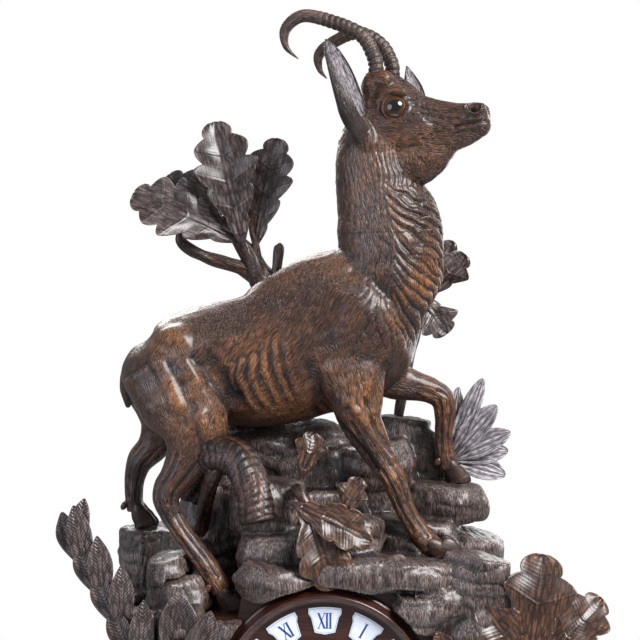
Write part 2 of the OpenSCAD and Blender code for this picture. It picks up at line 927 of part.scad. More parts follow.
module pendulum_bob() {
    edge = bob_t * 0.22;
    color("#c8a258")
        difference() {
            translate([0, pendulum_y, anchor_z - pendulum_l])
                rotate([90, 0, 0])
                    rotate_extrude($fn = 96)
                        polygon([[0, -bob_t / 2], [bob_r * 0.6, -bob_t * 0.44], [bob_r * 0.9, -bob_t * 0.3],
                                 [bob_r, -edge], [bob_r, edge], [bob_r * 0.9, bob_t * 0.3],
                                 [bob_r * 0.6, bob_t * 0.44], [0, bob_t / 2]]);
            translate([0, pendulum_y, anchor_z - pendulum_l - bob_r - 1])
                cylinder(r = rod_r + 0.05, h = 2 * bob_r + 2);
        }
}

module rating_nut() {
    color("#c5a05a")
        difference() {
            translate([0, pendulum_y, anchor_z - pendulum_l - bob_r - 3.4])
                cylinder(r = 3.2, h = 3.2);
            translate([0, pendulum_y, anchor_z - pendulum_l - bob_r - 5])
                cylinder(r = rod_r + 0.05, h = 8);
        }
}

// Strike train

module strike_second_wheel() {
    color("#c8a258") {
        arbor(second_at, 0.8, 0.6);
        leaf_pinion(second_at, low_pinion, barrel_m, facing(second_at, strike_at, low_pinion),
                    great_at - 0.3, great_at + great_t + 0.3);
        train_wheel(second_at, second_teeth, second_m, heading(second_at, pin_at), second_layer, wheel_t, 1);
    }
}

module pin_wheel() {
    color("#c8a258") {
        arbor(pin_at, arbor_r);
        leaf_pinion(pin_at, fast_pinion, second_m, facing(pin_at, second_at, fast_pinion),
                    second_layer - 0.4, second_layer + wheel_t + 0.4);
        train_wheel(pin_at, pin_teeth, pin_m, heading(pin_at, locking_at), pin_layer, wheel_t, arbor_r);
        for (i = [0:9])
            rod(pin_at + polar(9.2, 36 * i), 0.4, pin_layer + wheel_t / 2, pin_layer + 4);
    }
}

module locking_wheel() {
    color("#c8a258") {
        arbor(locking_at, arbor_r);
        leaf_pinion(locking_at, fast_pinion, pin_m, facing(locking_at, pin_at, fast_pinion),
                    pin_layer - 0.4, pin_layer + wheel_t + 0.4);
        train_wheel(locking_at, locking_teeth, locking_m, heading(locking_at, fly_at), locking_layer, wheel_t,
                    arbor_r, 3);
        rod(locking_at + [7.3, 0], 0.4, locking_layer + wheel_t / 2, locking_layer + 3);
    }
}

module fly() {
    vane = 4.6;
    color("#c8a258") {
        arbor(fly_at, arbor_r - 0.05);
        leaf_pinion(fly_at, fast_pinion, locking_m, facing(fly_at, locking_at, fast_pinion),
                    locking_layer - 0.4, locking_layer + wheel_t + 0.4);
        layer(locking_layer + 3, locking_layer + 9)
            translate(fly_at)
                square([2 * vane, 0.5], center = true);
    }
}

// Hammer: tail at the pin wheel, arm outside the back plate, head beside the gong
module hammer() {
    tail = norm(pin_at - hammer_at) - 9.2 - 0.4 - 0.5;
    head_x = gong_pitch / 2 - gong_r - gong_wire_r - 0.5;
    arm_y = rear_y + plate_t + 2;
    color("#8d8f93") {
        rod(hammer_at, 1.1, 0.3, train_end - 0.3);
        rod(hammer_at, 0.8, -plate_t, train_end + plate_t + 4);
        layer(pin_layer + 2, pin_layer + 3.4)
            translate(hammer_at)
                rotate(heading(hammer_at, pin_at))
                    translate([0, -0.8])
                        square([tail, 1.6]);
        layer(train_end + plate_t + 1.4, train_end + plate_t + 2.6)
            polygon([hammer_at + [-2, 2], hammer_at + [2, 2], [head_x - 4.6, gong_z - dial_z + 3],
                     [head_x - 7.4, gong_z - dial_z + 3]]);
        translate([head_x - 7.4, arm_y - 0.6, gong_z - 2])
            cube([2.8, gong_y - arm_y + 0.6, 5]);
        translate([head_x - 9, gong_y, gong_z])
            rotate([0, 90, 0])
                cylinder(r = 3.4, h = 9);
    }
}

// Coil gong: one wire wound in a flat spiral, held by its outer end in an iron stand
gong_pitch = 6;
gong_lead = 6;

function gong_ring(i, n) = gong_r - gong_pitch * i / n;
gong_path = concat(
    [[gong_r, gong_y, gong_z - gong_lead], [gong_r, gong_y, gong_z - gong_lead / 2]],
    [for (i = [0:24 * gong_turns]) let (a = 15 * i, r = gong_ring(i, 24))
        [r * cos(a), gong_y, gong_z + r * sin(a)]]);
gong_gap = min([for (i = [2:len(gong_path) - 25]) norm(gong_path[i + 24] - gong_path[i])]) - 2 * gong_wire_r;
echo(least_gap_between_gong_turns = gong_gap);

module gong_coil() {
    n = 6;
    rings = [for (p = gong_path) [p[0], p[1], p[2], gong_wire_r, gong_wire_r]];
    color("#5f6468")
        polyhedron([for (i = [0:len(rings) - 1]) each ring_at(rings, i, n, [0, 1, 0])],
                   skin_faces(len(rings), n));
}

module gong_stand() {
    top = gong_z - gong_lead;
    color("#2d2d2f") {
        translate([gong_r - 14, gong_y - 9, base_h])
            cube([28, 18, 3]);
        translate([gong_r, gong_y, base_h + 3])
            cylinder(r1 = 5, r2 = 3, h = top - base_h - 3);
    }
}

// Carved rocks: heights here are measured from the top of the case

module on_summit() {
    translate([0, 0, case_top])
        children();
}

// Carving at the front edge of the base
module on_front() {
    translate([0, front_limit + front_set, 0])
        on_summit()
            children();
}

function rock_outline(size, seed, n = 8) =
    let (j = rands(0.8, 1.1, n, seed))
    [for (i = [0:n - 1]) [size[0] / 2 * j[i] * cos(360 * i / n), size[1] / 2 * j[i] * sin(360 * i / n)]];

// Flat-topped slab of rock, its size over all, leaning by turn
module slab(at, size, turn, seed, bevel = 0.82) {
    translate(at)
        rotate(turn)
            hull() {
                translate([0, 0, size[2] * 0.1])
                    linear_extrude(size[2] * 0.4, scale = bevel)
                        polygon(rock_outline(size, seed));
                translate([0, 0, -size[2] / 2])
                    linear_extrude(size[2] * 0.1)
                        scale(0.92)
                            polygon(rock_outline(size, seed + 1));
            }
}

// Place, size, lean and seed of each slab
summit_slabs = [
    [[-20, 18, 20], [150, 96, 60], [0, 0, 0], 11],
    [[-6, 26, 58], [112, 70, 44], [0, 4, 10], 12],
    [[42, 20, 64], [70, 66, 40], [0, -6, 20], 13],
    [[-72, 26, 44], [62, 70, 40], [0, -14, 0], 14],
    [[-112, 26, -4], [78, 84, 40], [0, 0, 0], 15],
    [[-148, 20, -8], [44, 60, 48], [0, 0, 5], 16],
    [[70, 0, 12], [96, 110, 34], [0, 3, 0], 17],
    [[100, 8, 38], [78, 84, 30], [0, 0, 8], 18],
    [[104, 14, 48], [46, 56, 8], [0, 0, 0], 19],
    [[62, -48, -7], [112, 66, 24], [0, 0, 3], 20],
    [[84, -62, -26], [96, 64, 30], [0, 8, 0], 21],
    [[118, -10, -6], [50, 96, 44], [0, 12, 0], 22],
    [[20, -44, 22], [60, 50, 30], [0, 10, 12], 23],
    [[-30, -50, 4], [84, 44, 40], [0, -6, 0], 24],
    [[-78, -52, -43], [64, 64, 16], [0, 0, 4], 25],
    [[-112, -42, -34], [62, 68, 48], [0, -8, 0], 26],
    [[-44, -30, 40], [70, 60, 44], [0, 6, 0], 27],
    [[10, 40, 84], [56, 40, 26], [0, 6, 30], 28],
    [[18, -72, -4], [96, 44, 26], [0, -4, 0], 29],
    [[-34, -74, -10], [70, 40, 28], [0, 8, 0], 30],
    [[110, -70, -44], [60, 52, 34], [0, 14, 0], 32],
    [[-98, -74, -62], [64, 46, 38], [0, -10, 0], 34],
    [[70, -78, -30], [56, 36, 26], [0, 6, 8], 36],
    [[112, -70, -12], [64, 44, 46], [0, 10, 0], 37],
    [[-60, -80, -52], [52, 32, 34], [0, 0, 0], 38],
    [[62, 44, 76], [68, 36, 56], [0, 6, 0], 43],
    [[-92, 22, 10], [66, 66, 88], [0, 0, 0], 42],
    [[58, -74, -2], [92, 40, 20], [0, 2, 0], 44],
    [[-104, -76, -42], [46, 34, 30], [0, 0, 0], 45]
];

module summit_mass() {
    on_summit()
        for (s = summit_slabs)
            slab(s[0], s[1], s[2], s[3]);
}

// What stands on the rocks or is let into them
module summit_seats() {
    case_block();
    chamois_shape();
    oak_branch_shape();
    gnarled_shape();
    bezel_room();
}

module bezel_room() {
    along_y([0, 0], bezel_r + 1, face_y - 40, face_y + 0.01);
}

module summit_rocks() {
    color("#3b2a24")
        difference() {
            summit_mass();
            summit_seats();
            translate([-300, front_limit - 300, 0])
                cube([600, 300, 600]);
        }
}

side_slabs = [
    [[150, -30, 30], [96, 120, 64], [0, 4, 0], 31],
    [[158, 10, 84], [70, 110, 66], [0, 8, 0], 32],
    [[146, -46, 96], [60, 78, 50], [0, 0, 14], 33],
    [[142, 8, 148], [52, 96, 70], [0, 10, 0], 34],
    [[128, -60, 158], [46, 56, 44], [0, 6, 0], 35],
    [[104, -80, 44], [66, 34, 52], [0, 0, 0], 36],
    [[112, -78, 108], [44, 34, 60], [0, 6, 0], 37],
    [[118, -30, 192], [40, 80, 44], [0, 8, 0], 38],
    [[176, -6, 26], [60, 130, 40], [0, 6, 0], 39],
    [[60, -84, 22], [70, 28, 40], [0, 0, 0], 40],
    [[22, -86, 12], [60, 24, 22], [0, 0, 0], 41]
];

// Rocks beside and before the case, right of the dial or mirrored to its left
module side_rocks(side, seed) {
    color("#3b2a24")
        difference() {
            side_mass(side, seed);
            case_block();
            bezel_room();
            summit_mass();
            chamois_shape();
            translate([-300, -300, -300])
                cube([600, 600, 300 + base_h]);
            translate([-300, front_limit - 300, 0])
                cube([600, 300, 600]);
        }
}

module left_rocks() {
    difference() {
        side_rocks(-1, 26);
        side_mass(1, 0);
    }
}

module right_rocks() {
    side_rocks(1, 0);
}

// Chamois: one carved block with its legs

trunk = [
    [-161, 0, 142, 10, 9], [-152, 0, 142, 23, 22], [-134, 0, 140, 34, 38], [-108, 0, 144, 38, 47],
    [-78, 0, 149, 36, 50], [-48, 0, 153, 37, 55], [-16, 0, 166, 39, 61], [16, 0, 180, 40, 62],
    [46, 0, 194, 39, 57], [68, 0, 203, 34, 45], [82, 0, 214, 26, 31], [91, 0, 223, 12, 14]
];
neck = [
    [46, 0, 190, 34, 44], [53, 0, 216, 35, 45], [54, 0, 238, 33, 43], [51, 0, 264, 30, 40],
    [45, 0, 286, 27, 34], [42, 0, 306, 25, 31], [42, 0, 324, 23, 29], [44, 0, 344, 21, 26],
    [46, 0, 360, 18, 20]
];
near_fore = [
    [16, -20, 170, 18, 34], [20, -26, 148, 17, 30], [24, -30, 126, 15, 22], [28, -32, 106, 13, 17],
    [38, -34, 86, 10.5, 13], [45, -36, 74, 9.5, 10.5], [52, -38, 64, 9.6, 10], [57, -40, 52, 8.4, 9],
    [64, -42, 35, 7.8, 8], [73, -43, 21, 8.2, 8.4], [82, -44, 12, 8.6, 8.6]
];
far_fore = [
    [38, 14, 150, 16, 26], [56, 16, 136, 13, 17], [72, 17, 131, 11, 13], [86, 17, 127, 10, 11],
    [96, 17, 121, 9.6, 10.4], [98, 17, 108, 8.4, 8.2], [97, 17, 92, 7.6, 7.4], [98, 17, 76, 8.2, 8],
    [102, 17, 62, 8.4, 8]
];
near_hind = [
    [-122, -14, 150, 22, 40], [-110, -22, 122, 21, 36], [-102, -28, 100, 17, 28], [-103, -31, 82, 13, 21],
    [-112, -34, 66, 10.5, 14.5], [-121, -37, 52, 9.6, 11.5], [-119, -39, 38, 8.4, 8.6],
    [-108, -42, 21, 8, 8], [-95, -45, 5, 8, 8], [-85, -47, -9, 8.6, 8.6], [-78, -48, -22, 8.6, 8.2]
];
far_hind = [
    [-132, 10, 140, 18, 34], [-130, 16, 116, 17, 28], [-132, 19, 96, 13, 19], [-141, 20, 80, 10.5, 13],
    [-151, 20, 68, 9.6, 11], [-155, 20, 54, 8.4, 8.4], [-156, 20, 40, 7.8, 7.4], [-154, 20, 28, 8.2, 7.8]
];
tail = [[-146, 0, 160, 6, 6], [-156, 0, 146, 6, 6], [-159, 0, 130, 5, 5.5], [-157, 0, 113, 2, 2]];
skull_at = [48.4, 0, 353.6];
head_yaw = -22;
head = [
    [-24, 0, -6, 15, 22], [-10, 0, -8, 21, 34], [6, 0, -9, 23, 36], [18, 0, -11, 22.5, 31], [30, 0, -14, 18.5, 24.5],
    [44, 0, -17, 14.5, 20], [57, 0, -18, 12, 18], [70, 0, -16.5, 10.5, 15.5], [79, 0, -16, 9.5, 12],
    [85, 0, -14, 6, 6.5]
];
jaw = [
    [14, 0, -44, 14, 18], [26, 0, -41.5, 16, 22], [34.6, 0, -38.4, 15, 20], [43.7, 0, -32.2, 12.5, 17],
    [55.6, 0, -26.8, 11, 12], [66.3, 0, -24.7, 9.5, 10], [75, 0, -22.6, 7.5, 8], [79.5, 0, -21, 5, 5.5]
];

// Cloven hoof with its flat sole at the given place, pointing right
module hoof(at, long = 22) {
    translate(at)
        for (s = [-1, 1])
            hull() {
                translate([0, s * 4.6, 0])
                    linear_extrude(0.5)
                        polygon([[-long * 0.42, -3.8], [long * 0.2, -4], [long * 0.58, -1 * s - 1],
                                 [long * 0.2, 3.8], [-long * 0.42, 3.8]]);
                translate([-long * 0.08, s * 4, 12])
                    sphere(r = 5.4, $fn = 8);
            }
}

module chamois_block() {
    limb(trunk, 1, 14);
    limb(neck, 1, 12);
    limb(tail, 1, 6);
    for (leg = [near_fore, far_fore, near_hind, far_hind])
        limb(leg, 1, 9);
    translate(skull_at)
        rotate([0, 0, head_yaw]) {
            limb(head, 1, 12);
            limb(jaw, 1, 8);
        }
    hoof([91, -45, 5]);
    hoof([107, 17, 52], 20);
    hoof([-72, -49, -35]);
    hoof([-148, 20, 16], 20);
}

module chamois_shape() {
    on_summit()
        chamois_block();
}

// The block is bored for the horns' tenons and hollowed for the glass eyes
module chamois() {
    color("#5a3322")
        difference() {
            union() {
                chamois_shape();
                ears();
            }
            horn_tenons();
            eye_places();
            case_block();
        }
}

near_ear = [[36, -14, 322, 5, 7], [31, -19, 338, 5, 9], [24, -25, 356, 4.4, 11], [15, -30, 377, 3.6, 10],
            [6, -33, 393, 2.4, 6], [0, -34, 402, 0.6, 0.8]];
far_ear = [[62, 10, 336, 4, 6], [67, 13, 347, 4.6, 8], [71, 16, 358, 4.6, 9], [71, 19, 370, 3.8, 7.6],
           [68.5, 21, 381, 2.4, 4.4], [66, 22, 390, 0.6, 0.8]];

// Ear: a flat tapering form with a scooped front
module ear(stations, scoop) {
    difference() {
        limb(stations, 1, 8, scoop);
        translate(3.2 * unit(scoop))
            limb([for (i = [1:len(stations) - 2]) let (p = stations[i])
                [p[0], p[1], p[2], p[3] * 0.8, p[4] * 0.72]], 1, 8, scoop);
    }
}

module ears() {
    on_summit() {
        ear(near_ear, [0.35, -1, 0.1]);
        ear(far_ear, [0.5, -1, 0.1]);
    }
}

// Horns: ringed cones that rise, sweep back and hook down
near_horn = [[42, -9, 372], [40, -9, 392], [29, -8, 410], [7, -5, 421], [-17, -1, 427], [-31, 3, 418],
             [-31, 5, 404], [-21, 5, 394]];
far_horn = [[56, 9, 372], [54, 10, 392], [45, 12, 408], [27, 13, 417], [9, 15, 411], [-4, 17, 401],
            [-4, 18, 389], [2, 18, 381]];
tenon = 14;

module horn(path) {
    fine = smooth(path, 4);
    last = len(fine) - 1;
    limb([for (i = [0:last]) let (t = i / last, ring = t < 0.72 ? 0.07 * cos(180 * i) : 0,
                                  r = horn_r * (1 + ring) * (t < 0.65 ? 1 - 0.25 * t : 0.837 * (1 - t) / 0.35 + 0.08))
        [fine[i][0], fine[i][1], fine[i][2], r, r]], 1, 8);
}

module horn_tenons(gap = 0.1) {
    on_summit()
        for (path = [near_horn, far_horn])
            translate(path[0] - [0, 0, tenon])
                cylinder(r = horn_r * 0.6 + gap, h = 2 * tenon, $fn = 16);
}

module horns() {
    color("#33211a")
        difference() {
            on_summit() {
                horn(near_horn);
                horn(far_horn);
                for (path = [near_horn, far_horn])
                    translate(path[0] - [0, 0, tenon - 1])
                        cylinder(r = horn_r * 0.6, h = tenon + 2, $fn = 16);
            }
            head_shape();
        }
}

module head_shape() {
    difference() {
        on_summit() {
            translate(skull_at)
                rotate([0, 0, head_yaw])
                    limb(head, 1, 12);
            limb(neck, 1, 12);
        }
        horn_tenons();
    }
}

// Glass eyes, each a ball set in a bored socket
eye_local = [13, 16.6, -4];

module eye_balls(r, fine = 32) {
    on_summit()
        translate(skull_at)
            rotate([0, 0, head_yaw])
                for (s = [-1, 1])
                    translate([eye_local[0], s * eye_local[1], eye_local[2]])
                        sphere(r = r, $fn = fine);
}

module eye_places() {
    eye_balls(eye_r + 0.25, 20);
}

module glass_eyes() {
    color("#6b3d14")
        eye_balls(eye_r);
}

// Foliage

// Half width of an oak leaf at share t of its length
function oak_width(t, lobes) =
    pow(max(sin(180 * pow(t, 1.25)), 0), 0.75) * (1 - lobe_depth * (1 + cos(360 * lobes * t)) / 2) + 0.04;
function plain_width(t) = pow(max(sin(180 * pow(t, 0.9)), 0), 0.8) + 0.05;

// Leaf blade between two points: ring of four points at each station
module blade(from, to, width, normal, bow, lobes = 0, stations = 12, cup = 0.2) {
    way = to - from;
    n = unit(normal - (normal * unit(way)) * unit(way));
    side = cross(unit(way), n);
    thick = leaf_t / 2;
    rings = [for (i = [0:stations]) let (t = i / stations,
            w = width / 2 * (lobes > 0 ? oak_width(t, lobes) : plain_width(t)),
            mid = from + t * way + bow * sin(180 * t) * n,
            lift = cup * w * n)
        [mid + w * side + lift, mid + thick * n, mid - w * side + lift, mid - thick * n]];
    polyhedron([for (r = rings) each r], skin_faces(stations + 1, 4));
}

// Raised midrib from the stalk to past the middle of a leaf
module midrib(from, to, normal, bow, stalk = 0, at_shares = [0.7]) {
    way = to - from;
    n = unit(normal - (normal * unit(way)) * unit(way));
    at = concat([-stalk / norm(way)], at_shares);
    for (i = [0:1:len(at_shares) - 1])
        hull()
            for (k = [i, i + 1])
                translate(from + at[k] * way + bow * sin(180 * max(at[k], 0)) * n + leaf_t * 0.3 * n)
                    sphere(r = 1.9 - 0.5 * k, $fn = 5);
}

module oak_leaf(from, to, width, normal, bow = 5, stalk = 6, lobes = 4) {
    blade(from, to, width, normal, bow, lobes, 12);
    midrib(from, to, normal, bow, stalk);
}

module leaflet(from, to, width, normal, bow = 3, rib = [0.7]) {
    blade(from, to, width, normal, bow, 0, 4);
    midrib(from, to, normal, bow, 3, rib);
}

// Oak branch behind the chamois
branch_path = [[-14, 58, 70, branch_r * 1.2], [-26, 62, 130, branch_r], [-44, 64, 190, branch_r * 0.95],
               [-56, 64, 224, branch_r * 0.9], [-70, 62, 250, branch_r * 0.75], [-80, 58, 262, branch_r * 0.5]];
side_branch = [[-58, 64, 222, branch_r * 0.62], [-78, 62, 231, branch_r * 0.6], [-97, 60, 237, branch_r * 0.56],
               [-114, 58, 244, branch_r * 0.54], [-122, 57, 252, branch_r * 0.5], [-121, 56, 262, branch_r * 0.4]];
stub_branch = [[-48, 64, 208, branch_r * 0.55], [-43, 63, 222, branch_r * 0.42], [-42, 62, 248, branch_r * 0.4]];

module oak_branch_shape() {
    on_summit() {
        stem(branch_path, 1, 8, [0, 1, 0]);
        stem(side_branch, 1, 7, [0, 1, 0]);
        stem(stub_branch, 1, 6, [0, 1, 0]);
        for (k = [[-17, 59, 88], [-20, 60, 104], [-25, 61, 126], [-30, 62, 146], [-34, 63, 164], [-41, 64, 184],
                  [-50, 64, 206], [-98, 60, 238]])
            hull()
                for (d = [-4, 4])
                    translate(k + [d / 2, 0, d])
                        sphere(r = branch_r * (k[0] < -90 ? 0.6 : 1.06), $fn = 6);
    }
}

module oak_branch() {
    color("#4a2d20")
        difference() {
            oak_branch_shape();
            chamois_shape();
        }
}

module oak_leaves() {
    color("#4d342a")
        difference() {
            on_summit() {
                oak_leaf([-86, 52, 264], [-164, 44, 292], 48, [0.1, -1, 0.3], 6, 9);
                oak_leaf([-81, 52, 266], [-92, 42, 352], 52, [0.1, -1, 0.1], 7, 7);
                oak_leaf([-66, 60, 262], [-38, 58, 334], 46, [-0.3, -1, 0], 5, 12);
                oak_leaf([-96, 66, 250], [-140, 74, 300], 36, [0.2, -1, 0.2], 4, 12);
            }
            oak_branch_shape();
            chamois_shape();
        }
}

// Leaves behind the chest on their own stem
chest_stem = [[58, 46, 70, 4.4], [64, 52, 110, 4.2], [72, 53, 150, 3.8], [80, 46, 182, 3.4], [84, 38, 204, 3]];

module chest_spray() {
    color("#4d342a")
        difference() {
            on_summit() {
                stem(chest_stem, 1, 7);
                oak_leaf([86, 36, 204], [117, 30, 238], 32, [-0.2, -1, 0.1], 4, 6, 3);
                oak_leaf([82, 38, 198], [102, 32, 174], 34, [0.2, -1, 0], 4, 6, 3);
                oak_leaf([80, 42, 206], [108, 42, 250], 26, [-0.2, -1, 0.1], 3, 6, 3);
                hull()
                    for (z = [196, 210])
                        translate([82, 39, z])
                            sphere(r = 4, $fn = 6);
            }
            chamois_shape();
            summit_mass();
            oak_branch_shape();
        }
}

// Fan of ribbed blades at the right, rooted in the rocks
fan_tips = [[128, 28, 137, 17], [141, 24, 112, 19], [153, 22, 91, 19], [152, 30, 74, 18], [149, 26, 57, 17],
            [112, 40, 128, 15]];
fan_root = [104, 34, 66];
fan_stem = [[101, 32, 38, 5], [103, 33, 52, 4.6], [105, 34, 70, 3.6]];

module leaf_fan() {
    color("#453b3a")
        difference() {
            on_summit() {
                for (tip = fan_tips)
                    leaflet(fan_root + [0, 0, 2], part3(tip), tip[3], [-0.1, -1, 0.4], 5);
                stem(fan_stem, 1, 6);
            }
            summit_mass();
            chamois_shape();
        }
}

// Gnarled broken branch under the belly
gnarl_path = [[-104, -6, 48, 9], [-96, -22, 70, 9.5], [-82, -38, 83, 9.5], [-66, -50, 80, 9], [-54, -60, 62, 8.6],
              [-48, -66, 34, 8.2]];
root_path = [[-78, -40, 80, 5.8], [-86, -37, 64, 5.6], [-91, -26, 48, 5.4], [-95, -12, 32, 5.2], [-98, 0, 14, 5]];

module gnarled_shape() {
    on_summit() {
        stem(gnarl_path, 1, 8);
        stem(root_path, 1, 7);
        for (k = [[-96, -22, 70], [-82, -38, 82], [-68, -48, 81], [-58, -56, 70], [-51, -63, 50], [-90, -28, 51],
                  [-48, -65, 38]])
            hull()
                for (d = [-3, 3])
                    translate(k + [d, d / 2, 0])
                        sphere(r = k[2] < 36 ? 5.6 : 9.6, $fn = 6);
    }
}

module gnarled_branch() {
    color("#40291f")
        difference() {
            gnarled_shape();
            chamois_shape();
            case_block();
        }
}

module hanging_leaves() {
    color("#5a3a26")
        difference() {
            on_summit() {
                oak_leaf([-16, -70, 58], [5, -82, -12], 40, [0.1, -1, 0.1], 6, 6);
                oak_leaf([-26, -74, 50], [34, -80, 22], 34, [0, -1, 0.4], 5, 6);
                oak_leaf([-18, -66, 66], [-8, -60, 100], 26, [0.2, -1, 0.2], 4, 8, 3);
                oak_leaf([10, -74, 34], [26, -74, 68], 24, [-0.2, -1, 0.1], 4, 14, 3);
                stem([[-20, -50, 56, 4], [-20, -68, 58, 4], [-12, -73, 48, 3.4], [4, -76, 38, 3]], 1, 6);
            }
            chamois_shape();
            summit_mass();
            gnarled_shape();
            case_block();
            bezel_room();
        }
}

// Pinnate spray at the lower left
spray_stem = [[-112, -88, -120, 4.4], [-128, -86, -80, 4], [-146, -82, -44, 3.4], [-166, -76, -14, 2.8],
              [-184, -70, 14, 2]];

module left_spray() {
    color("#453631")
        difference() {
            on_front() {
                stem(spray_stem, 1, 6);
                for (i = [0:5]) {
                    t = through(spray_stem, min(floor(i * 0.7), 3), i * 0.7 - min(floor(i * 0.7), 3));
                    root = part3(t);
                    leaflet(root, root + [-26 + i, 4, 36], 13, [-0.3, -1, 0.1], 3, []);
                    leaflet(root, root + [24 - 4 * i, -3, 36], 13, [0.2, -1, 0.1], 3, []);
                }
                leaflet([-184, -70, 14], [-180, -68, 52], 13, [0, -1, 0.1], 3);
                leaflet([-126, -88, -86], [-98, -94, -46], 20, [0.2, -1, 0.1], 4);
                leaflet([-120, -88, -104], [-166, -90, -118], 20, [0.1, -1, 0.2], 4);
            }
            side_mass(-1, 26);
            case_block();
            bezel_room();
            chamois_shape();
            summit_mass();
        }
}

module side_mass(side, seed) {
    translate([0, 0, base_h])
        for (s = side_slabs)
            slab([side * s[0][0], s[0][1], s[0][2]], s[1], [s[2][0], side * s[2][1], side * s[2][2]],
                 s[3] + seed);
}

// Oak leaves at the lower right
right_stem = [[112, -86, -150, 5], [132, -88, -116, 4.6], [148, -88, -84, 4], [154, -84, -54, 3.2]];

module right_spray() {
    color("#4d342a")
        difference() {
            on_front() {
                stem(right_stem, 1, 6);
                oak_leaf([152, -82, -62], [158, -72, 14], 46, [-0.1, -1, 0.1], 6, 6);
                oak_leaf([150, -84, -72], [112, -84, -22], 34, [0.2, -1, 0.1], 5, 6, 3);
                oak_leaf([156, -82, -66], [206, -66, -22], 40, [-0.3, -1, 0.1], 6, 6);
                oak_leaf([130, -88, -118], [186, -84, -140], 38, [0, -1, 0.3], 6, 6);
                for (i = [0:2])
                    leaflet([90 + 14 * i, -86, -66 - 4 * i], [80 + 22 * i, -93, -40 - 4 * i], 18,
                            [0, -1, 0.2], 1, []);
            }
            side_mass(1, 0);
            case_block();
            bezel_room();
            chamois_shape();
            summit_mass();
        }
}

base_board();
rock_case();
summit_rocks();
left_rocks();
right_rocks();
back_door();
door_hinge();
door_pin();
door_button();
button_screw();
dial_board();
numeral_plaques();
bezel();
winding_eyelets();
hour_hand();
minute_hand();
hand_nut();
cannon_pinion();
minute_wheel();
front_plate();
back_plate();
pillars();
plate_nuts();
movement_screws();
going_barrel();
going_spring();
going_barrel_arbor();
going_click();
intermediate_wheel();
centre_wheel();
third_wheel();
escape_wheel();
anchor();
suspension_cock();
pendulum_rod();
pendulum_bob();
rating_nut();
strike_barrel();
strike_spring();
strike_barrel_arbor();
strike_click();
strike_second_wheel();
pin_wheel();
locking_wheel();
fly();
hammer();
gong_coil();
gong_stand();
chamois();
horns();
glass_eyes();
oak_branch();
oak_leaves();
chest_spray();
leaf_fan();
gnarled_branch();
hanging_leaves();
left_spray();
right_spray();
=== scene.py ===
"""Carved mantel clock: the wood carver's surfaces, the finishes, the light and the camera.

Lengths in this file are millimetres in the clock's own frame until a mesh is made. Carved
forms stand on the case, so their heights are counted from the top of the case.
"""

import json
import logging
import math
from collections import Counter
from dataclasses import dataclass, field, replace
from enum import Enum
from itertools import product
from typing import Any, Callable, Optional, Sequence

import bmesh
import bpy
import numpy as np
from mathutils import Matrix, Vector


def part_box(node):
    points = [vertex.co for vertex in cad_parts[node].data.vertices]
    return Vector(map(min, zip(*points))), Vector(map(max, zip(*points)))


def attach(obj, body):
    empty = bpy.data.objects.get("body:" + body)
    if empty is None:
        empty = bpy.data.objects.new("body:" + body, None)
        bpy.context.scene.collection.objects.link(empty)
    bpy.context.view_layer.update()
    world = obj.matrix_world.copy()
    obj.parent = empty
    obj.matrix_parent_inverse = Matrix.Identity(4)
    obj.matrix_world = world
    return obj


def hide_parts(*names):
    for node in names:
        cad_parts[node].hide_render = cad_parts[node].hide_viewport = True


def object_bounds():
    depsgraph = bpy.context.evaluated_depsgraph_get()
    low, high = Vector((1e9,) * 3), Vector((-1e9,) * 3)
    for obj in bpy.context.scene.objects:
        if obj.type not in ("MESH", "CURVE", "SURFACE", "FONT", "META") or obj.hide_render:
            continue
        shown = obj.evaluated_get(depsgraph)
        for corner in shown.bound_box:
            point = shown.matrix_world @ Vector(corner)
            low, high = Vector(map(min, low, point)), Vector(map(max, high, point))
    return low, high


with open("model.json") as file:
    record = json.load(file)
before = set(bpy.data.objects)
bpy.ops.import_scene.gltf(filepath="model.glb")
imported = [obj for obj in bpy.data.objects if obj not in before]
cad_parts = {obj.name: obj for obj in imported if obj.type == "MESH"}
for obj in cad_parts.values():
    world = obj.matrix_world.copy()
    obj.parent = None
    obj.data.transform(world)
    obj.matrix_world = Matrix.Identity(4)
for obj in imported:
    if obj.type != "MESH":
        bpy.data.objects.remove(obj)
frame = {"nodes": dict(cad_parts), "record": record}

log = logging.getLogger("clock")

MM = 0.001
CAD_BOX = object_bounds()
CASE_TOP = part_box("rock_case")[1].z / MM
BASE_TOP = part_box("base_board")[1].z / MM
DIAL_Z = (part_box("bezel")[0].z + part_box("bezel")[1].z) / 2 / MM
BEZEL_R = (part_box("bezel")[1].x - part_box("bezel")[0].x) / 2 / MM

SKULL_AT = (48.4, 0.0, 353.6)
HEAD_YAW = -22.0
EYE_AT = (13.6, 15.4, -4.0)
EYE_R = 10.4
SIDES = (-1, 1)

Points = np.ndarray
Numbers = Sequence[float]
Span = tuple[float, float]
Line = Sequence[Span]
Stations = Sequence[Numbers]
Swell = Callable[[Points, Points], Points]
Material = bpy.types.Material
Object = bpy.types.Object
Socket = bpy.types.NodeSocket


# Small vector and curve tools


def unit(v: Points) -> Points:
    """Scales vectors, which lie along the last axis, to length one."""
    return v / np.maximum(np.linalg.norm(v, axis=-1, keepdims=True), 1e-9)


def turned(p: Points, degrees: float) -> Points:
    """Turns points about an upright line through the origin.

    Args:
        p: Points, one a row.
        degrees: The turn, anticlockwise from above.

    Returns:
        The turned points.
    """
    a = math.radians(degrees)
    x = p[:, 0] * math.cos(a) - p[:, 1] * math.sin(a)
    y = p[:, 0] * math.sin(a) + p[:, 1] * math.cos(a)
    return np.stack([x, y, p[:, 2]], axis=1)


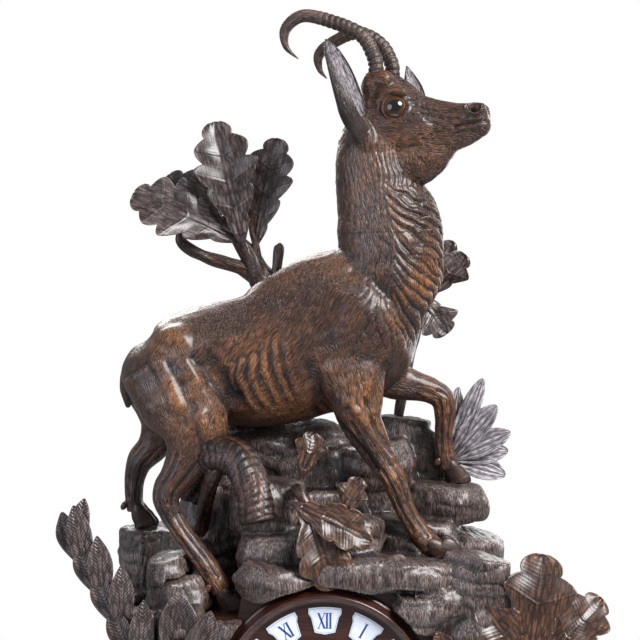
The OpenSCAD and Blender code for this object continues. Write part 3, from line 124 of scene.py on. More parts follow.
def smooth_curve(stations: Stations, steps: int) -> Points:
    """Runs a smooth curve through stations.

    Args:
        stations: Rows of values, such as x, y, z and radii.
        steps: Points on each stretch.

    Returns:
        The curve's rows.
    """
    p = np.asarray(stations, float)
    last = len(p) - 1
    rows = []
    for i in range(last):
        a, b, c, d = p[max(i - 1, 0)], p[i], p[i + 1], p[min(i + 2, last)]
        for t in (k / steps for k in range(steps)):
            cubic = 1.5 * (b - c) + (d - a) / 2
            square = a - 2.5 * b + 2 * c - d / 2
            rows.append(b + t * ((c - a) / 2 + t * (square + t * cubic)))
    rows.append(p[-1])
    return np.array(rows)


def ease(t: Points) -> Points:
    """Smooth step from 0 to 1 over shares, which are clipped to that range."""
    t = np.clip(t, 0.0, 1.0)
    return t * t * (3 - 2 * t)


def ridges(turn: Points, power: float = 1.0) -> Points:
    """Heights of rounded ridges, 0 in each cut and 1 between, broader with a power below 1."""
    return np.abs(np.sin(math.pi * turn)) ** power


def mound(off: Points, width: float) -> Points:
    """Height of a soft mound, 1 in its middle, at distances from it."""
    return np.exp(-((off / width) ** 2))


def value_noise(p: Points, cell: float, seed: int = 0) -> Points:
    """Smooth lattice noise.

    Args:
        p: Points in millimetres, one a row.
        cell: Size of a patch in millimetres.
        seed: Which noise.

    Returns:
        Values between -1 and 1.
    """
    q = p / cell
    base = np.floor(q).astype(np.int64)
    f = ease(q - base)
    total = np.zeros(len(p))
    for step in product((0, 1), repeat=3):
        x, y, z = (base + step).T
        h = (x * 374761393 + y * 668265263 + z * 2147483647 + seed * 974711) & 0x7FFFFFFF
        h = ((h ^ (h >> 13)) * 1274126177) & 0x7FFFFFFF
        h = (h ^ (h >> 16)) & 0xFFFF
        total += np.prod(np.where(step, f, 1 - f), axis=1) * (h / 32767.5 - 1)
    return total


def layered_noise(p: Points, *layers: tuple[float, int, float]) -> Points:
    """Adds up noises over points, each layer a patch size, a seed and a height."""
    return sum(height * value_noise(p, cell, seed) for cell, seed, height in layers)


def distance_to_line(p: Points, line: Points) -> Points:
    """Shortest distance from points to a line of short stretches.

    Args:
        p: Points, one a row.
        line: The line's corners.

    Returns:
        One distance a point.
    """
    best = np.full(len(p), 1e9)
    for a, b in zip(line[:-1], line[1:]):
        way = b - a
        t = np.clip(((p - a) @ way) / max(way @ way, 1e-9), 0, 1)
        best = np.minimum(best, np.linalg.norm(p - a - t[:, None] * way, axis=1))
    return best


def soft_edge(d: Points, radius: float) -> Points:
    """Depth share of a stroke, 1 in its middle and 0 past its radius, at distances from it."""
    return np.where(d < radius, (1 - (d / radius) ** 2) ** 2, 0.0)


# Meshes


@dataclass
class Form:
    """Corners and faces of a mesh in millimetres, with named values at its corners."""

    corners: Points
    faces: list[Sequence[int]]
    values: dict[str, Points] = field(default_factory=dict)

    def placed(self, move: Callable[[Points], Points]) -> "Form":
        """Returns the form with its corners moved."""
        return Form(move(self.corners), self.faces, self.values)

    def carved(self, rounds: int) -> "Form":
        """Adds the relief of the form's skin, measured over so many rounds."""
        self.values["relief"] = Skin(self).relief(rounds)
        return self

    def piece(self, name: str, finish: Material, smooth: bool = True) -> Object:
        """Makes the Blender object.

        Args:
            name: The piece's name.
            finish: Its material.
            smooth: Whether its faces are shaded smooth.

        Returns:
            The object, in metres.
        """
        mesh = bpy.data.meshes.new(name)
        places = inside_box(self.corners) * MM
        mesh.from_pydata(places.tolist(), [], [tuple(int(i) for i in f) for f in self.faces])
        mesh.validate()
        for key, value in self.values.items():
            kind, slot = ("FLOAT_VECTOR", "vector") if value.ndim == 2 else ("FLOAT", "value")
            layer = mesh.attributes.new(key, kind, "POINT")
            layer.data.foreach_set(slot, value.astype(np.float32).ravel())
        shape = bmesh.new()
        shape.from_mesh(mesh)
        bmesh.ops.recalc_face_normals(shape, faces=shape.faces)
        shape.to_mesh(mesh)
        shape.free()
        mesh.polygons.foreach_set("use_smooth", [smooth] * len(mesh.polygons))
        mesh.materials.append(finish)
        return shown(bpy.data.objects.new(name, mesh))


def merged(forms: Sequence[Form]) -> Form:
    """Puts several forms into one.

    Args:
        forms: The forms.

    Returns:
        One form, with the values that all of them have.
    """
    faces: list[Sequence[int]] = []
    start = 0
    for form in forms:
        faces.extend(tuple(i + start for i in face) for face in form.faces)
        start += len(form.corners)
    names = set(forms[0].values).intersection(*(set(f.values) for f in forms))
    values = {n: np.concatenate([f.values[n] for f in forms]) for n in sorted(names)}
    return Form(np.concatenate([f.corners for f in forms]), faces, values)


def ring_faces(rings: int, sides: int, closed: bool = False, first: int = 0) -> list[Sequence[int]]:
    """Makes the faces between rings of corners.

    Args:
        rings: How many rings there are.
        sides: Corners on each ring.
        closed: Whether the last ring meets the first.
        first: Number of the first ring's first corner.

    Returns:
        The faces, each with four corners.
    """
    faces: list[Sequence[int]] = []
    for i in range(rings if closed else rings - 1):
        a, b = first + i * sides, first + (i + 1) % rings * sides
        for k in range(sides):
            m = (k + 1) % sides
            faces.append((a + k, b + k, b + m, a + m))
    return faces


def ring_angles(count: int) -> Points:
    """Returns the angles of corners spaced evenly round a ring."""
    return np.arange(count) * 2 * math.pi / count


def shown(made: Object) -> Object:
    """Puts an object into the scene and returns it."""
    bpy.context.scene.collection.objects.link(made)
    return made


def inside_box(p: Points, margin: float = 0.01) -> Points:
    """Returns points in millimetres, held inside the block's own box by a margin."""
    low, high = (np.array(CAD_BOX[i]) / MM for i in (0, 1))
    return np.clip(p, low + margin, high - margin)


def seat(piece: Object, body: str = "case", stands_for: Sequence[str] = ()) -> None:
    """Fixes a piece to a body and reports it.

    Args:
        piece: The piece.
        body: The body it moves with.
        stands_for: CAD nodes that it replaces.
    """
    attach(piece, body)
    if stands_for:
        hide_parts(*stands_for)
    log.info("%s: %d faces on %s", piece.name, len(piece.data.polygons), body)


@dataclass
class Loft:
    """Limb, neck, horn or stem: rings of half width a and half depth b along a curve."""

    stations: Stations
    across: Numbers = (0.0, 1.0, 0.0)
    steps: int = 6
    sides: int = 32
    least_r: float = 0.2
    slice_depth: float = 6.0

    def __post_init__(self) -> None:
        """Works out the curve and the ring directions."""
        rows = smooth_curve(self.stations, self.steps)
        self.centres = rows[:, :3]
        self.half = np.maximum(rows[:, 3:5], self.least_r)
        self.way = unit(np.gradient(self.centres, axis=0))
        side = np.asarray(self.across, float)
        self.side = unit(side - (self.way @ side)[:, None] * self.way)
        self.depth = np.cross(self.side, self.way)
        gaps = np.linalg.norm(np.diff(self.centres, axis=0), axis=1)
        self.run = np.concatenate([[0.0], np.cumsum(gaps)])

    def form(self, swell: Optional[Swell] = None) -> Form:
        """Builds the closed skin.

        Args:
            swell: Radius factor from the run along the curve and the angle round it.

        Returns:
            The form, with its grain values.
        """
        count, sides = len(self.centres), self.sides
        run, angle = np.broadcast_arrays(self.run[:, None], ring_angles(sides)[None, :])
        factor = 1.0 if swell is None else swell(run, angle)
        x = self.half[:, :1] * np.cos(angle) * factor
        y = self.half[:, 1:] * np.sin(angle) * factor
        grid = self.centres[:, None, :] + x[..., None] * self.side[:, None, :]
        grid = grid + y[..., None] * self.depth[:, None, :]
        faces = [(a, d, c, b) for a, b, c, d in ring_faces(count, sides)]
        end = (count - 1) * sides
        faces += [(0, k, k + 1) for k in range(1, sides - 1)]
        faces += [(end, end + k + 1, end + k) for k in range(1, sides - 1)]
        grain = np.stack([run, x, y], axis=-1).reshape(-1, 3) * MM
        return Form(grid.reshape(-1, 3), faces, {"grain": grain})

    def local(self, p: Points) -> tuple[Points, Points, Points, Points]:
        """Finds where points lie beside the curve.

        Args:
            p: Points, one a row.

        Returns:
            Run along the curve, distance across, distance deep, and reach, which is 1 on the skin.
        """
        along, x, y = np.zeros((3, len(p)))
        reach = np.full(len(p), 1e9)
        for i, (a, b) in enumerate(self.half):
            d = p - self.centres[i]
            off, px, py = d @ self.way[i], d @ self.side[i], d @ self.depth[i]
            r = np.sqrt((px / a) ** 2 + (py / b) ** 2 + (off / self.slice_depth) ** 2)
            near = r < reach
            along[near] = self.run[i] + off[near]
            x[near], y[near], reach[near] = px[near], py[near], r[near]
        return along, x, y, reach


def ball(centre: Numbers, radii: Numbers, lean: float = 0.0, rings: int = 14) -> Form:
    """Makes an ellipsoid, leant about the line into the clock.

    Args:
        centre: Its middle.
        radii: Its half sizes.
        lean: Turn in degrees, clockwise seen from the front.
        rings: Number of rings.

    Returns:
        The form.
    """
    sides = rings * 2
    corners = [(0.0, 0.0, 1.0)]
    for polar in (math.pi * i / rings for i in range(1, rings)):
        for turn in ring_angles(sides):
            across = math.sin(polar)
            corners.append((across * math.cos(turn), across * math.sin(turn), math.cos(polar)))
    corners.append((0.0, 0.0, -1.0))
    p = np.array(corners) * np.asarray(radii, float)
    a = math.radians(lean)
    x = p[:, 0] * math.cos(a) + p[:, 2] * math.sin(a)
    z = -p[:, 0] * math.sin(a) + p[:, 2] * math.cos(a)
    p = np.stack([x, p[:, 1], z], axis=1) + np.asarray(centre, float)
    faces: list[Sequence[int]] = [(0, 1 + k, 1 + (k + 1) % sides) for k in range(sides)]
    faces += ring_faces(rings - 1, sides, first=1)
    end = len(corners) - 1
    last = end - sides
    faces += [(end, last + (k + 1) % sides, last + k) for k in range(sides)]
    return Form(p, faces)


def remeshed(form: Form, voxel: float) -> Form:
    """Melts overlapping closed skins into one even skin.

    Args:
        form: The overlapping skins.
        voxel: Edge length of the new skin in millimetres.

    Returns:
        The single skin.
    """
    mesh = bpy.data.meshes.new("melt")
    mesh.from_pydata((form.corners * MM).tolist(), [], [tuple(int(i) for i in f) for f in form.faces])
    holder = shown(bpy.data.objects.new("melt", mesh))
    modifier = holder.modifiers.new("voxels", "REMESH")
    modifier.mode = "VOXEL"
    modifier.voxel_size = voxel * MM
    melted = holder.evaluated_get(bpy.context.evaluated_depsgraph_get())
    done = melted.to_mesh()
    corners = np.empty(len(done.vertices) * 3)
    done.vertices.foreach_get("co", corners)
    sizes = np.empty(len(done.polygons), int)
    done.polygons.foreach_get("loop_total", sizes)
    loops = np.empty(len(done.loops), int)
    done.loops.foreach_get("vertex_index", loops)
    faces = [tuple(f) for f in np.split(loops, np.cumsum(sizes)[:-1])]
    melted.to_mesh_clear()
    bpy.data.objects.remove(holder)
    bpy.data.meshes.remove(mesh)
    return Form(corners.reshape(-1, 3) / MM, faces)


def edge_key(a: int, b: int) -> tuple[int, int]:
    """Names an edge by its corners, the lower number first."""
    return (a, b) if a < b else (b, a)


class Skin:
    """An even skin that can be smoothed, carved and measured with arrays."""

    def __init__(self, form: Form) -> None:
        """Keeps the skin's corners and edges.

        Args:
            form: The skin, all faces with four corners or three.
        """
        self.p = form.corners.copy()
        self.faces = form.faces
        pairs = {edge_key(a, b) for f in form.faces for a, b in zip(f, (*f[1:], f[0]))}
        self.edges = np.array(sorted(pairs))
        self.count = np.bincount(self.edges.ravel(), minlength=len(self.p)).astype(float)
        self.quads = np.array([f if len(f) == 4 else (*f, f[-1]) for f in form.faces])

    def mean(self, value: Points) -> Points:
        """Averages a value over each corner's neighbours.

        Args:
            value: One value or vector a corner.

        Returns:
            The averages.
        """
        total = np.zeros_like(value, dtype=float)
        np.add.at(total, self.edges[:, 0], value[self.edges[:, 1]])
        np.add.at(total, self.edges[:, 1], value[self.edges[:, 0]])
        return total / np.maximum(self.count, 1)[(...,) + (None,) * (value.ndim - 1)]

    def relax(self, rounds: int, share: float = 0.5, where: Optional[Points] = None) -> None:
        """Smooths the skin.

        Args:
            rounds: How many times.
            share: How far each corner moves to its neighbours' middle.
            where: Share of the smoothing at each corner.
        """
        for _ in range(rounds):
            step = share * (self.mean(self.p) - self.p)
            self.p += step if where is None else step * where[:, None]

    def normals(self) -> Points:
        """Returns the unit normal at each corner."""
        a, b, c, d = (self.p[self.quads[:, k]] for k in range(4))
        n = np.cross(c - a, d - b)
        flat = np.linalg.norm(n, axis=1) < 1e-9
        n[flat] = np.cross(b[flat] - a[flat], c[flat] - a[flat])
        total = np.zeros_like(self.p)
        for k in range(4):
            np.add.at(total, self.quads[:, k], n)
        return unit(total)

    def push(self, amount: Points) -> None:
        """Moves each corner outwards along its normal by so many millimetres."""
        self.p += amount[:, None] * self.normals()

    def stroke(self, line: Stations, radius: float, depth: float, steps: int = 4) -> None:
        """Cuts a soft-edged stroke of half width radius along a curve, or raises it at negative depth."""
        curve = smooth_curve(line, steps) if len(line) > 1 else np.asarray([line[0], line[0]], float)
        self.push(-depth * soft_edge(distance_to_line(self.p, curve), radius))

    def seen_stroke(self, line: Line, radius: float, depth: float, side: int = -1) -> None:
        """Cuts or raises a stroke that is drawn on the front or back view.

        Args:
            line: Points of the curve, x and height.
            radius: Half width of the stroke.
            depth: Depth in millimetres, negative to raise.
            side: -1 for the front, 1 for the back.
        """
        curve = smooth_curve([(x, 0.0, z) for x, z in line], 4)
        low, high = curve.min(0) - radius, curve.max(0) + radius
        x, y, z = self.p.T
        box = (x > low[0]) & (x < high[0]) & (z > low[2]) & (z < high[2])
        near = np.flatnonzero(box & (y * side > 0))
        d = distance_to_line(self.p[near] * (1.0, 0.0, 1.0), curve)
        normals = self.normals()[near]
        facing = ease((normals[:, 1] * side - 0.05) / 0.4)
        self.p[near] += (-depth * facing * soft_edge(d, radius))[:, None] * normals

    def relief(self, rounds: int = 6) -> Points:
        """Measures how far each corner stands proud of its surroundings.

        Args:
            rounds: How wide the surroundings are.

        Returns:
            Values between -1, in a hollow, and 1, on an edge.
        """
        flat = self.p.copy()
        for _ in range(rounds):
            flat += 0.5 * (self.mean(flat) - flat)
        proud = np.einsum("ij,ij->i", self.p - flat, self.normals())
        return np.clip(proud / (2.2 * np.std(proud) + 1e-9), -1, 1)


# Finishes


def linear(colour: str) -> tuple[float, float, float, float]:
    """Turns an sRGB hex colour to linear light.

    Args:
        colour: Such as #3a2318.

    Returns:
        Red, green, blue and alpha.
    """
    parts = [int(colour[i:i + 2], 16) / 255 for i in (1, 3, 5)]
    r, g, b = (c / 12.92 if c <= 0.04045 else ((c + 0.055) / 1.055) ** 2.4 for c in parts)
    return r, g, b, 1.0


def fill(tree: bpy.types.NodeTree, node: bpy.types.Node, inputs: dict[Any, Any]) -> None:
    """Gives a node's inputs their values or links.

    Args:
        tree: The nodes that it belongs to.
        node: The node.
        inputs: Values or sockets by input.
    """
    for key, value in inputs.items():
        if isinstance(value, Socket):
            tree.links.new(value, node.inputs[key])
        else:
            node.inputs[key].default_value = value


def add_node(
    tree: bpy.types.NodeTree,
    kind: str,
    settings: Optional[dict[str, Any]] = None,
    inputs: Optional[dict[Any, Any]] = None,
) -> bpy.types.Node:
    """Adds a shader node with its settings, values and links.

    Args:
        tree: The nodes that it joins.
        kind: The node's type, without ShaderNode in front.
        settings: Its properties.
        inputs: Values or sockets for its inputs.

    Returns:
        The node.
    """
    node = tree.nodes.new("ShaderNode" + kind)
    for key, value in (settings or {}).items():
        setattr(node, key, value)
    fill(tree, node, inputs or {})
    return node


class Surface:
    """A material in the making, with one call for each kind of node that the finishes share."""

    def __init__(self, name: str) -> None:
        """Starts the material under its name."""
        self.material = bpy.data.materials.new(name)
        self.material.use_nodes = True
        self.tree = self.material.node_tree

    def place(self) -> Socket:
        """Returns the place on the piece, in metres."""
        return add_node(self.tree, "TexCoord").outputs["Object"]

    def value(self, name: str, output: str = "Fac") -> Socket:
        """Returns a value that the mesh holds at its corners."""
        return add_node(self.tree, "Attribute", {"attribute_name": name}).outputs[output]

    def stretched(self, at: Socket, scales: Numbers) -> Socket:
        """Returns a place scaled in each direction."""
        return add_node(self.tree, "Mapping", None, {"Vector": at, "Scale": scales}).outputs[0]

    def cloud(self, at: Socket, size: float = 1.0, detail: float = 3.0, drawn: float = 0.0,
              output: str = "Fac") -> Socket:
        """Adds an uneven pattern of clouds of a size in metres, drawn out of shape by a share."""
        inputs = {"Vector": at, "Scale": 1 / size, "Detail": detail, "Distortion": drawn}
        return add_node(self.tree, "TexNoise", None, inputs).outputs[output]

    def spread(self, value: Socket, source: Span, target: Span = (0.0, 1.0), smooth: bool = False) -> Socket:
        """Spreads one range of values over another.

        Args:
            value: The values.
            source: Ends of their range.
            target: What the ends become.
            smooth: Whether the values ease in and out.

        Returns:
            The new values.
        """
        ends = dict(zip(("From Min", "From Max", "To Min", "To Max"), (*source, *target)))
        settings = {"interpolation_type": "SMOOTHSTEP" if smooth else "LINEAR"}
        return add_node(self.tree, "MapRange", settings, {"Value": value, **ends}).outputs[0]

    def math(self, operation: str, *values: Any, clamp: bool = False) -> Socket:
        """Works out one value, held between 0 and 1 if clamp is set."""
        settings = {"operation": operation, "use_clamp": clamp}
        return add_node(self.tree, "Math", settings, dict(enumerate(values))).outputs[0]

    def vector(self, operation: str, inputs: dict[Any, Any], output: str = "Vector") -> Socket:
        """Works out one vector, or one Value of vectors."""
        return add_node(self.tree, "VectorMath", {"operation": operation}, inputs).outputs[output]

    def blend(self, share: Any, low: Any, high: Any) -> Socket:
        """Mixes two values by a share."""
        return add_node(self.tree, "Mix", {"data_type": "FLOAT"},
                        {"Factor": share, 2: low, 3: high}).outputs[0]

    def tint(self, share: Any, low: Any, high: Any) -> Socket:
        """Mixes two colours, each given as sRGB hex or as a socket, by a share."""
        low, high = (linear(c) if isinstance(c, str) else c for c in (low, high))
        return add_node(self.tree, "Mix", {"data_type": "RGBA"},
                        {"Factor": share, 6: low, 7: high}).outputs[2]

    def bump(self, height: Socket, depth: float) -> Socket:
        """Raises the surface by a depth in millimetres where the height is 1."""
        inputs = {"Height": height, "Strength": 1.0, "Distance": depth * MM}
        return add_node(self.tree, "Bump", None, inputs).outputs[0]

    def finished(self, inputs: dict[str, Any]) -> Material:
        """Gives the material's one shader its inputs and returns the material."""
        fill(self.tree, self.tree.nodes["Principled BSDF"], inputs)
        return self.material


class Follows(Enum):
    """What a pattern's strokes follow."""

    GRAIN = "grain"
    TWO_WAYS = "grain and limb_grain"
    PLACE = "place"


@dataclass(frozen=True)
class CarvedWood:
    """Lime or walnut cut with small gouges, stained dark and varnished.

    The strokes show as crowned facets. The cuts between them and the hollows of the carving take
    the dark first colour, partly stain and partly painted shade. Edges that hands and dusting
    reach are worn to a warmer brown. The varnish is thin and satin, so it gives a cool pale sheen
    on top of a warm colour. Sizes are in millimetres. A pair of values is the range of a pattern
    that its effect spreads over.
    """

    name: str
    # Colour of the cuts and hollows: dark stain, darkened further as painted shade.
    hollow: str
    body: str
    worn: str
    follows: Follows = Follows.GRAIN
    stroke_width: float = 2.2
    stroke_length: float = 10.0
    stroke_depth: float = 0.5
    wobble: float = 2.5
    wear: float = 0.5
    roughness: float = 0.42
    varnish: float = 0.35
    lines: float = 0.45
    stretch: tuple[float, float, float] = (1.0, 0.0, 0.0)
    drift_size: float = 16.0
    patch_size: float = 30.0
    cut: Span = (0.0, 0.32)
    hair: Span = (0.34, 0.66)
    hair_fineness: Span = (0.8, 1.9)
    # Ranges over which cuts and hollows darken: stain and painted shade together.
    shade_and_stain_relief: Span = (-0.8, 0.3)
    stain: Span = (0.05, 0.8)
    worn_relief: Span = (-0.1, 1.0)
    worn_share: Span = (0.25, 1.0)
    worn_patches: Span = (0.42, 0.66)
    gloss_patches: Span = (0.3, 0.7)

    def strokes(self, made: Surface, at: Socket) -> Socket:
        """Draws the gouge strokes over one set of places.

        Args:
            made: The material in the making.
            at: Where the surface is, first along the strokes.

        Returns:
            The height of the strokes, 0 in a cut and 1 on a crown.
        """
        drift = made.cloud(at, self.drift_size * MM, 2.0, output="Color")
        centred = made.vector("SUBTRACT", {0: drift, 1: (0.5, 0.5, 0.5)})
        shift = made.vector("SCALE", {0: centred, "Scale": 2 * self.wobble * MM})
        bent = made.vector("ADD", {0: at, 1: shift})
        long, wide = 1 / (self.stroke_length * MM), 1 / (self.stroke_width * MM)
        cells = made.stretched(bent, [long if s else wide for s in self.stretch])
        cuts = add_node(made.tree, "TexVoronoi", {"feature": "DISTANCE_TO_EDGE"},
                        {"Vector": cells, "Scale": 1.0, "Randomness": 0.9}).outputs["Distance"]
        fine_long, fine_wide = self.hair_fineness
        hairs = made.stretched(bent, [long * fine_long if s else wide * fine_wide for s in self.stretch])
        crown = made.spread(cuts, self.cut, smooth=True)
        return made.blend(self.lines, crown, made.spread(made.cloud(hairs), self.hair, smooth=True))

    def material(self) -> Material:
        """Returns the material."""
        made = Surface(self.name)
        place = made.place()
        rise = self.strokes(made, place if self.follows is Follows.PLACE else made.value("grain", "Vector"))
        if self.follows is Follows.TWO_WAYS:
            limb = self.strokes(made, made.value("limb_grain", "Vector"))
            rise = made.blend(made.value("limb_share"), rise, limb)
        relief = made.value("relief")
        patches = made.cloud(place, self.patch_size * MM)
        # Darker in the cuts between strokes and in low relief: partly stain, partly painted shade.
        shade = made.math("MULTIPLY", made.spread(relief, self.shade_and_stain_relief, smooth=True), rise)
        stained = made.tint(made.spread(shade, self.stain), self.hollow, self.body)
        edge = made.spread(relief, self.worn_relief, self.worn_share, smooth=True)
        rub = made.math("MULTIPLY", edge, made.spread(patches, self.worn_patches))
        rubbed = made.math("MULTIPLY", rub, self.wear * 1.6, clamp=True)
        worn = made.tint(made.math("MULTIPLY", rubbed, rise), stained, self.worn)
        glow = made.math("MULTIPLY", made.value("warmth"), shade)
        return made.finished({
            "Base Color": made.tint(glow, worn, self.worn),
            "Roughness": made.spread(patches, self.gloss_patches,
                                     (self.roughness - 0.06, self.roughness + 0.1)),
            "Normal": made.bump(rise, self.stroke_depth),
            "IOR": 1.5, "Coat Weight": self.varnish, "Coat Roughness": 0.25, "Coat IOR": 1.5})


@dataclass(frozen=True)
class PlainWood:
    """Planed or turned walnut with open grain, stained and polished. Sizes are in millimetres."""

    name: str
    dark: str
    light: str
    grain_width: float = 1.4
    grain_length: float = 45.0
    depth: float = 0.12
    roughness: float = 0.36
    varnish: float = 0.3
    banding: float = 0.45
    band_scale: float = 0.16
    tone: Span = (0.36, 0.64)
    gloss_bands: Span = (0.3, 0.7)

    def material(self) -> Material:
        """Returns the material."""
        made = Surface(self.name)
        place = made.place()
        scales = [1 / (size * MM) for size in (self.grain_length, self.grain_width, self.grain_width)]
        fibre = made.cloud(made.stretched(place, scales), 1.0, 4.0, 0.6)
        band = made.cloud(made.stretched(place, [s * self.band_scale for s in scales]), 1.0, 2.0, 1.2)
        tone = made.spread(made.blend(self.banding, fibre, band), self.tone)
        return made.finished({
            "Base Color": made.tint(tone, self.dark, self.light),
            "Roughness": made.spread(band, self.gloss_bands, (self.roughness - 0.05, self.roughness + 0.08)),
            "Normal": made.bump(fibre, self.depth),
            "IOR": 1.5, "Coat Weight": self.varnish, "Coat Roughness": 0.16})


@dataclass(frozen=True)
class Metal:
    """Clock brass or steel, brushed with fine lines and a little uneven lacquer or oil."""

    name: str
    bright: str
    dull: str
    roughness: float = 0.28
    brush: float = 0.35
    depth: float = 0.03
    brush_length: float = 9.0
    cloud_size: float = 7.0
    tone: Span = (0.35, 0.65)
    gloss_clouds: Span = (0.3, 0.7)

    def material(self) -> Material:
        """Returns the material."""
        made = Surface(self.name)
        place = made.place()
        scales = [1 / (size * MM) for size in (self.brush_length, self.brush, self.brush)]
        line = made.cloud(made.stretched(place, scales), 1.0, 2.0)
        cloud = made.cloud(place, self.cloud_size * MM)
        return made.finished({
            "Base Color": made.tint(made.spread(cloud, self.tone), self.dull, self.bright),
            "Roughness": made.spread(cloud, self.gloss_clouds,
                                     (self.roughness + 0.1, self.roughness - 0.04)),
            "Normal": made.bump(line, self.depth), "Metallic": 1.0})


@dataclass(frozen=True)
class Glaze:
    """Fired enamel or polished bone: even colour under a smooth, slightly rippled gloss."""

    name: str
    colour: str
    tinge: str
    roughness: float = 0.12
    ripple: float = 0.05
    gloss: float = 0.5
    cloud_size: float = 6.0
    tone: Span = (0.35, 0.7)

    def material(self) -> Material:
        """Returns the material."""
        made = Surface(self.name)
        cloud = made.cloud(made.place(), self.cloud_size * MM)
        return made.finished({
            "Base Color": made.tint(made.spread(cloud, self.tone), self.colour, self.tinge),
            "Normal": made.bump(cloud, self.ripple),
            "Roughness": self.roughness, "IOR": 1.52, "Coat Weight": self.gloss, "Coat Roughness": 0.06})


@dataclass(frozen=True)
class EyeGlass:
    """Blown glass eye, painted behind: dark pupil, amber iris and a dark rim, seen in the eye's own place.

    Each stop is a share of the eye's radius and the colour there.
    """

    name: str = "glass_eye"
    streak_size: float = 0.9
    streak_share: float = 0.12
    stops: Sequence[tuple[float, str]] = (
        (0.46, "#0c0908"), (0.58, "#3a2413"), (0.76, "#4c3019"), (0.88, "#4c3019"), (0.97, "#160d09"))

    def material(self) -> Material:
        """Returns the material."""
        made = Surface(self.name)
        place = made.place()
        flat = made.vector("MULTIPLY", {0: place, 1: (1.0, 1.0, 0.0)})
        share = made.math("DIVIDE", made.vector("LENGTH", {0: flat}, "Value"), EYE_R * MM)
        wave = made.math("MULTIPLY_ADD", made.cloud(place, self.streak_size * MM), self.streak_share, share)
        ramp = add_node(made.tree, "ValToRGB", None, {"Fac": wave})
        ends = ramp.color_ramp.elements
        ends[0].position, ends[1].position = self.stops[0][0], self.stops[-1][0]
        for at, _ in self.stops[1:-1]:
            ends.new(at)
        for stop, (_, colour) in zip(ends, self.stops):
            stop.color = linear(colour)
        return made.finished({"Base Color": ramp.outputs["Color"], "Roughness": 0.05, "IOR": 1.5,
                              "Coat Weight": 1.0, "Coat Roughness": 0.03})


# The chamois


def up(p: Points) -> Points:
    """Moves carving heights, counted from the case top, to heights above the shelf."""
    return np.asarray(p, float) + (0.0, 0.0, CASE_TOP)


def head_place(p: Stations) -> Points:
    """Moves points, given along, across and above the head, to their place in the carving."""
    return turned(np.atleast_2d(np.asarray(p, float)), HEAD_YAW) + SKULL_AT


def head_local(p: Points) -> Points:
    """Turns points of the carving back into the head's own frame."""
    return turned(np.asarray(p, float) - SKULL_AT, -HEAD_YAW)


def head_way(way: Numbers) -> Points:
    """Turns a direction in the head's own frame into the carving's."""
    ends = head_place([way, (0, 0, 0)])
    return ends[0] - ends[1]


def mirrored(line: Stations, s: int) -> list[tuple[float, float, float]]:
    """Puts a line of points on the near side of the head, s -1, or on the far side, s 1."""
    return [(x, s * y, z) for x, y, z in line]


def cut_off(form: Form, height: float, keep_above: bool) -> Form:
    """Keeps the part of a skin above or below a level, open at the cut.

    Args:
        form: The skin.
        height: The level.
        keep_above: Whether the upper part stays.

    Returns:
        The open part.
    """
    shape = bmesh.new()
    corners = [shape.verts.new(p) for p in form.corners]
    for f in form.faces:
        shape.faces.new([corners[i] for i in f])
    bmesh.ops.bisect_plane(
        shape, geom=[*shape.verts, *shape.edges, *shape.faces], plane_co=(0, 0, height), plane_no=(0, 0, 1),
        clear_inner=keep_above, clear_outer=not keep_above)
    shape.verts.index_update()
    p = np.array([v.co[:] for v in shape.verts])
    faces: list[Sequence[int]] = []
    for ring in ([v.index for v in f.verts] for f in shape.faces):
        if len(ring) <= 4:
            faces.append(tuple(ring))
        else:
            faces += [(ring[0], ring[k], ring[k + 1]) for k in range(1, len(ring) - 1)]
    shape.free()
    return Form(p, faces)


def capped(form: Form, inset: float = 0.94) -> Form:
    """Closes an open rim with a narrow shelf and a fan to its middle.

    Args:
        form: A skin with one open rim.
        inset: Size of the fan beside the rim.

    Returns:
        The closed skin.
    """
    uses = Counter(edge_key(a, b) for f in form.faces for a, b in zip(f, (*f[1:], f[0])))
    rim = [edge for edge, count in uses.items() if count == 1]
    inside = sorted({i for edge in rim for i in edge})
    first = len(form.corners)
    copies = {i: first + 1 + k for k, i in enumerate(inside)}
    middle = form.corners[inside].mean(axis=0)
    corners = np.vstack([form.corners, middle, middle + (form.corners[inside] - middle) * inset])
    values = {k: np.concatenate([v, v[inside].mean(axis=0)[None], v[inside]])
              for k, v in form.values.items()}
    shelf = [(b, a, copies[a], copies[b]) for a, b in rim]
    return Form(corners, [*form.faces, *shelf, *[(copies[b], copies[a], first) for a, b in rim]], values)


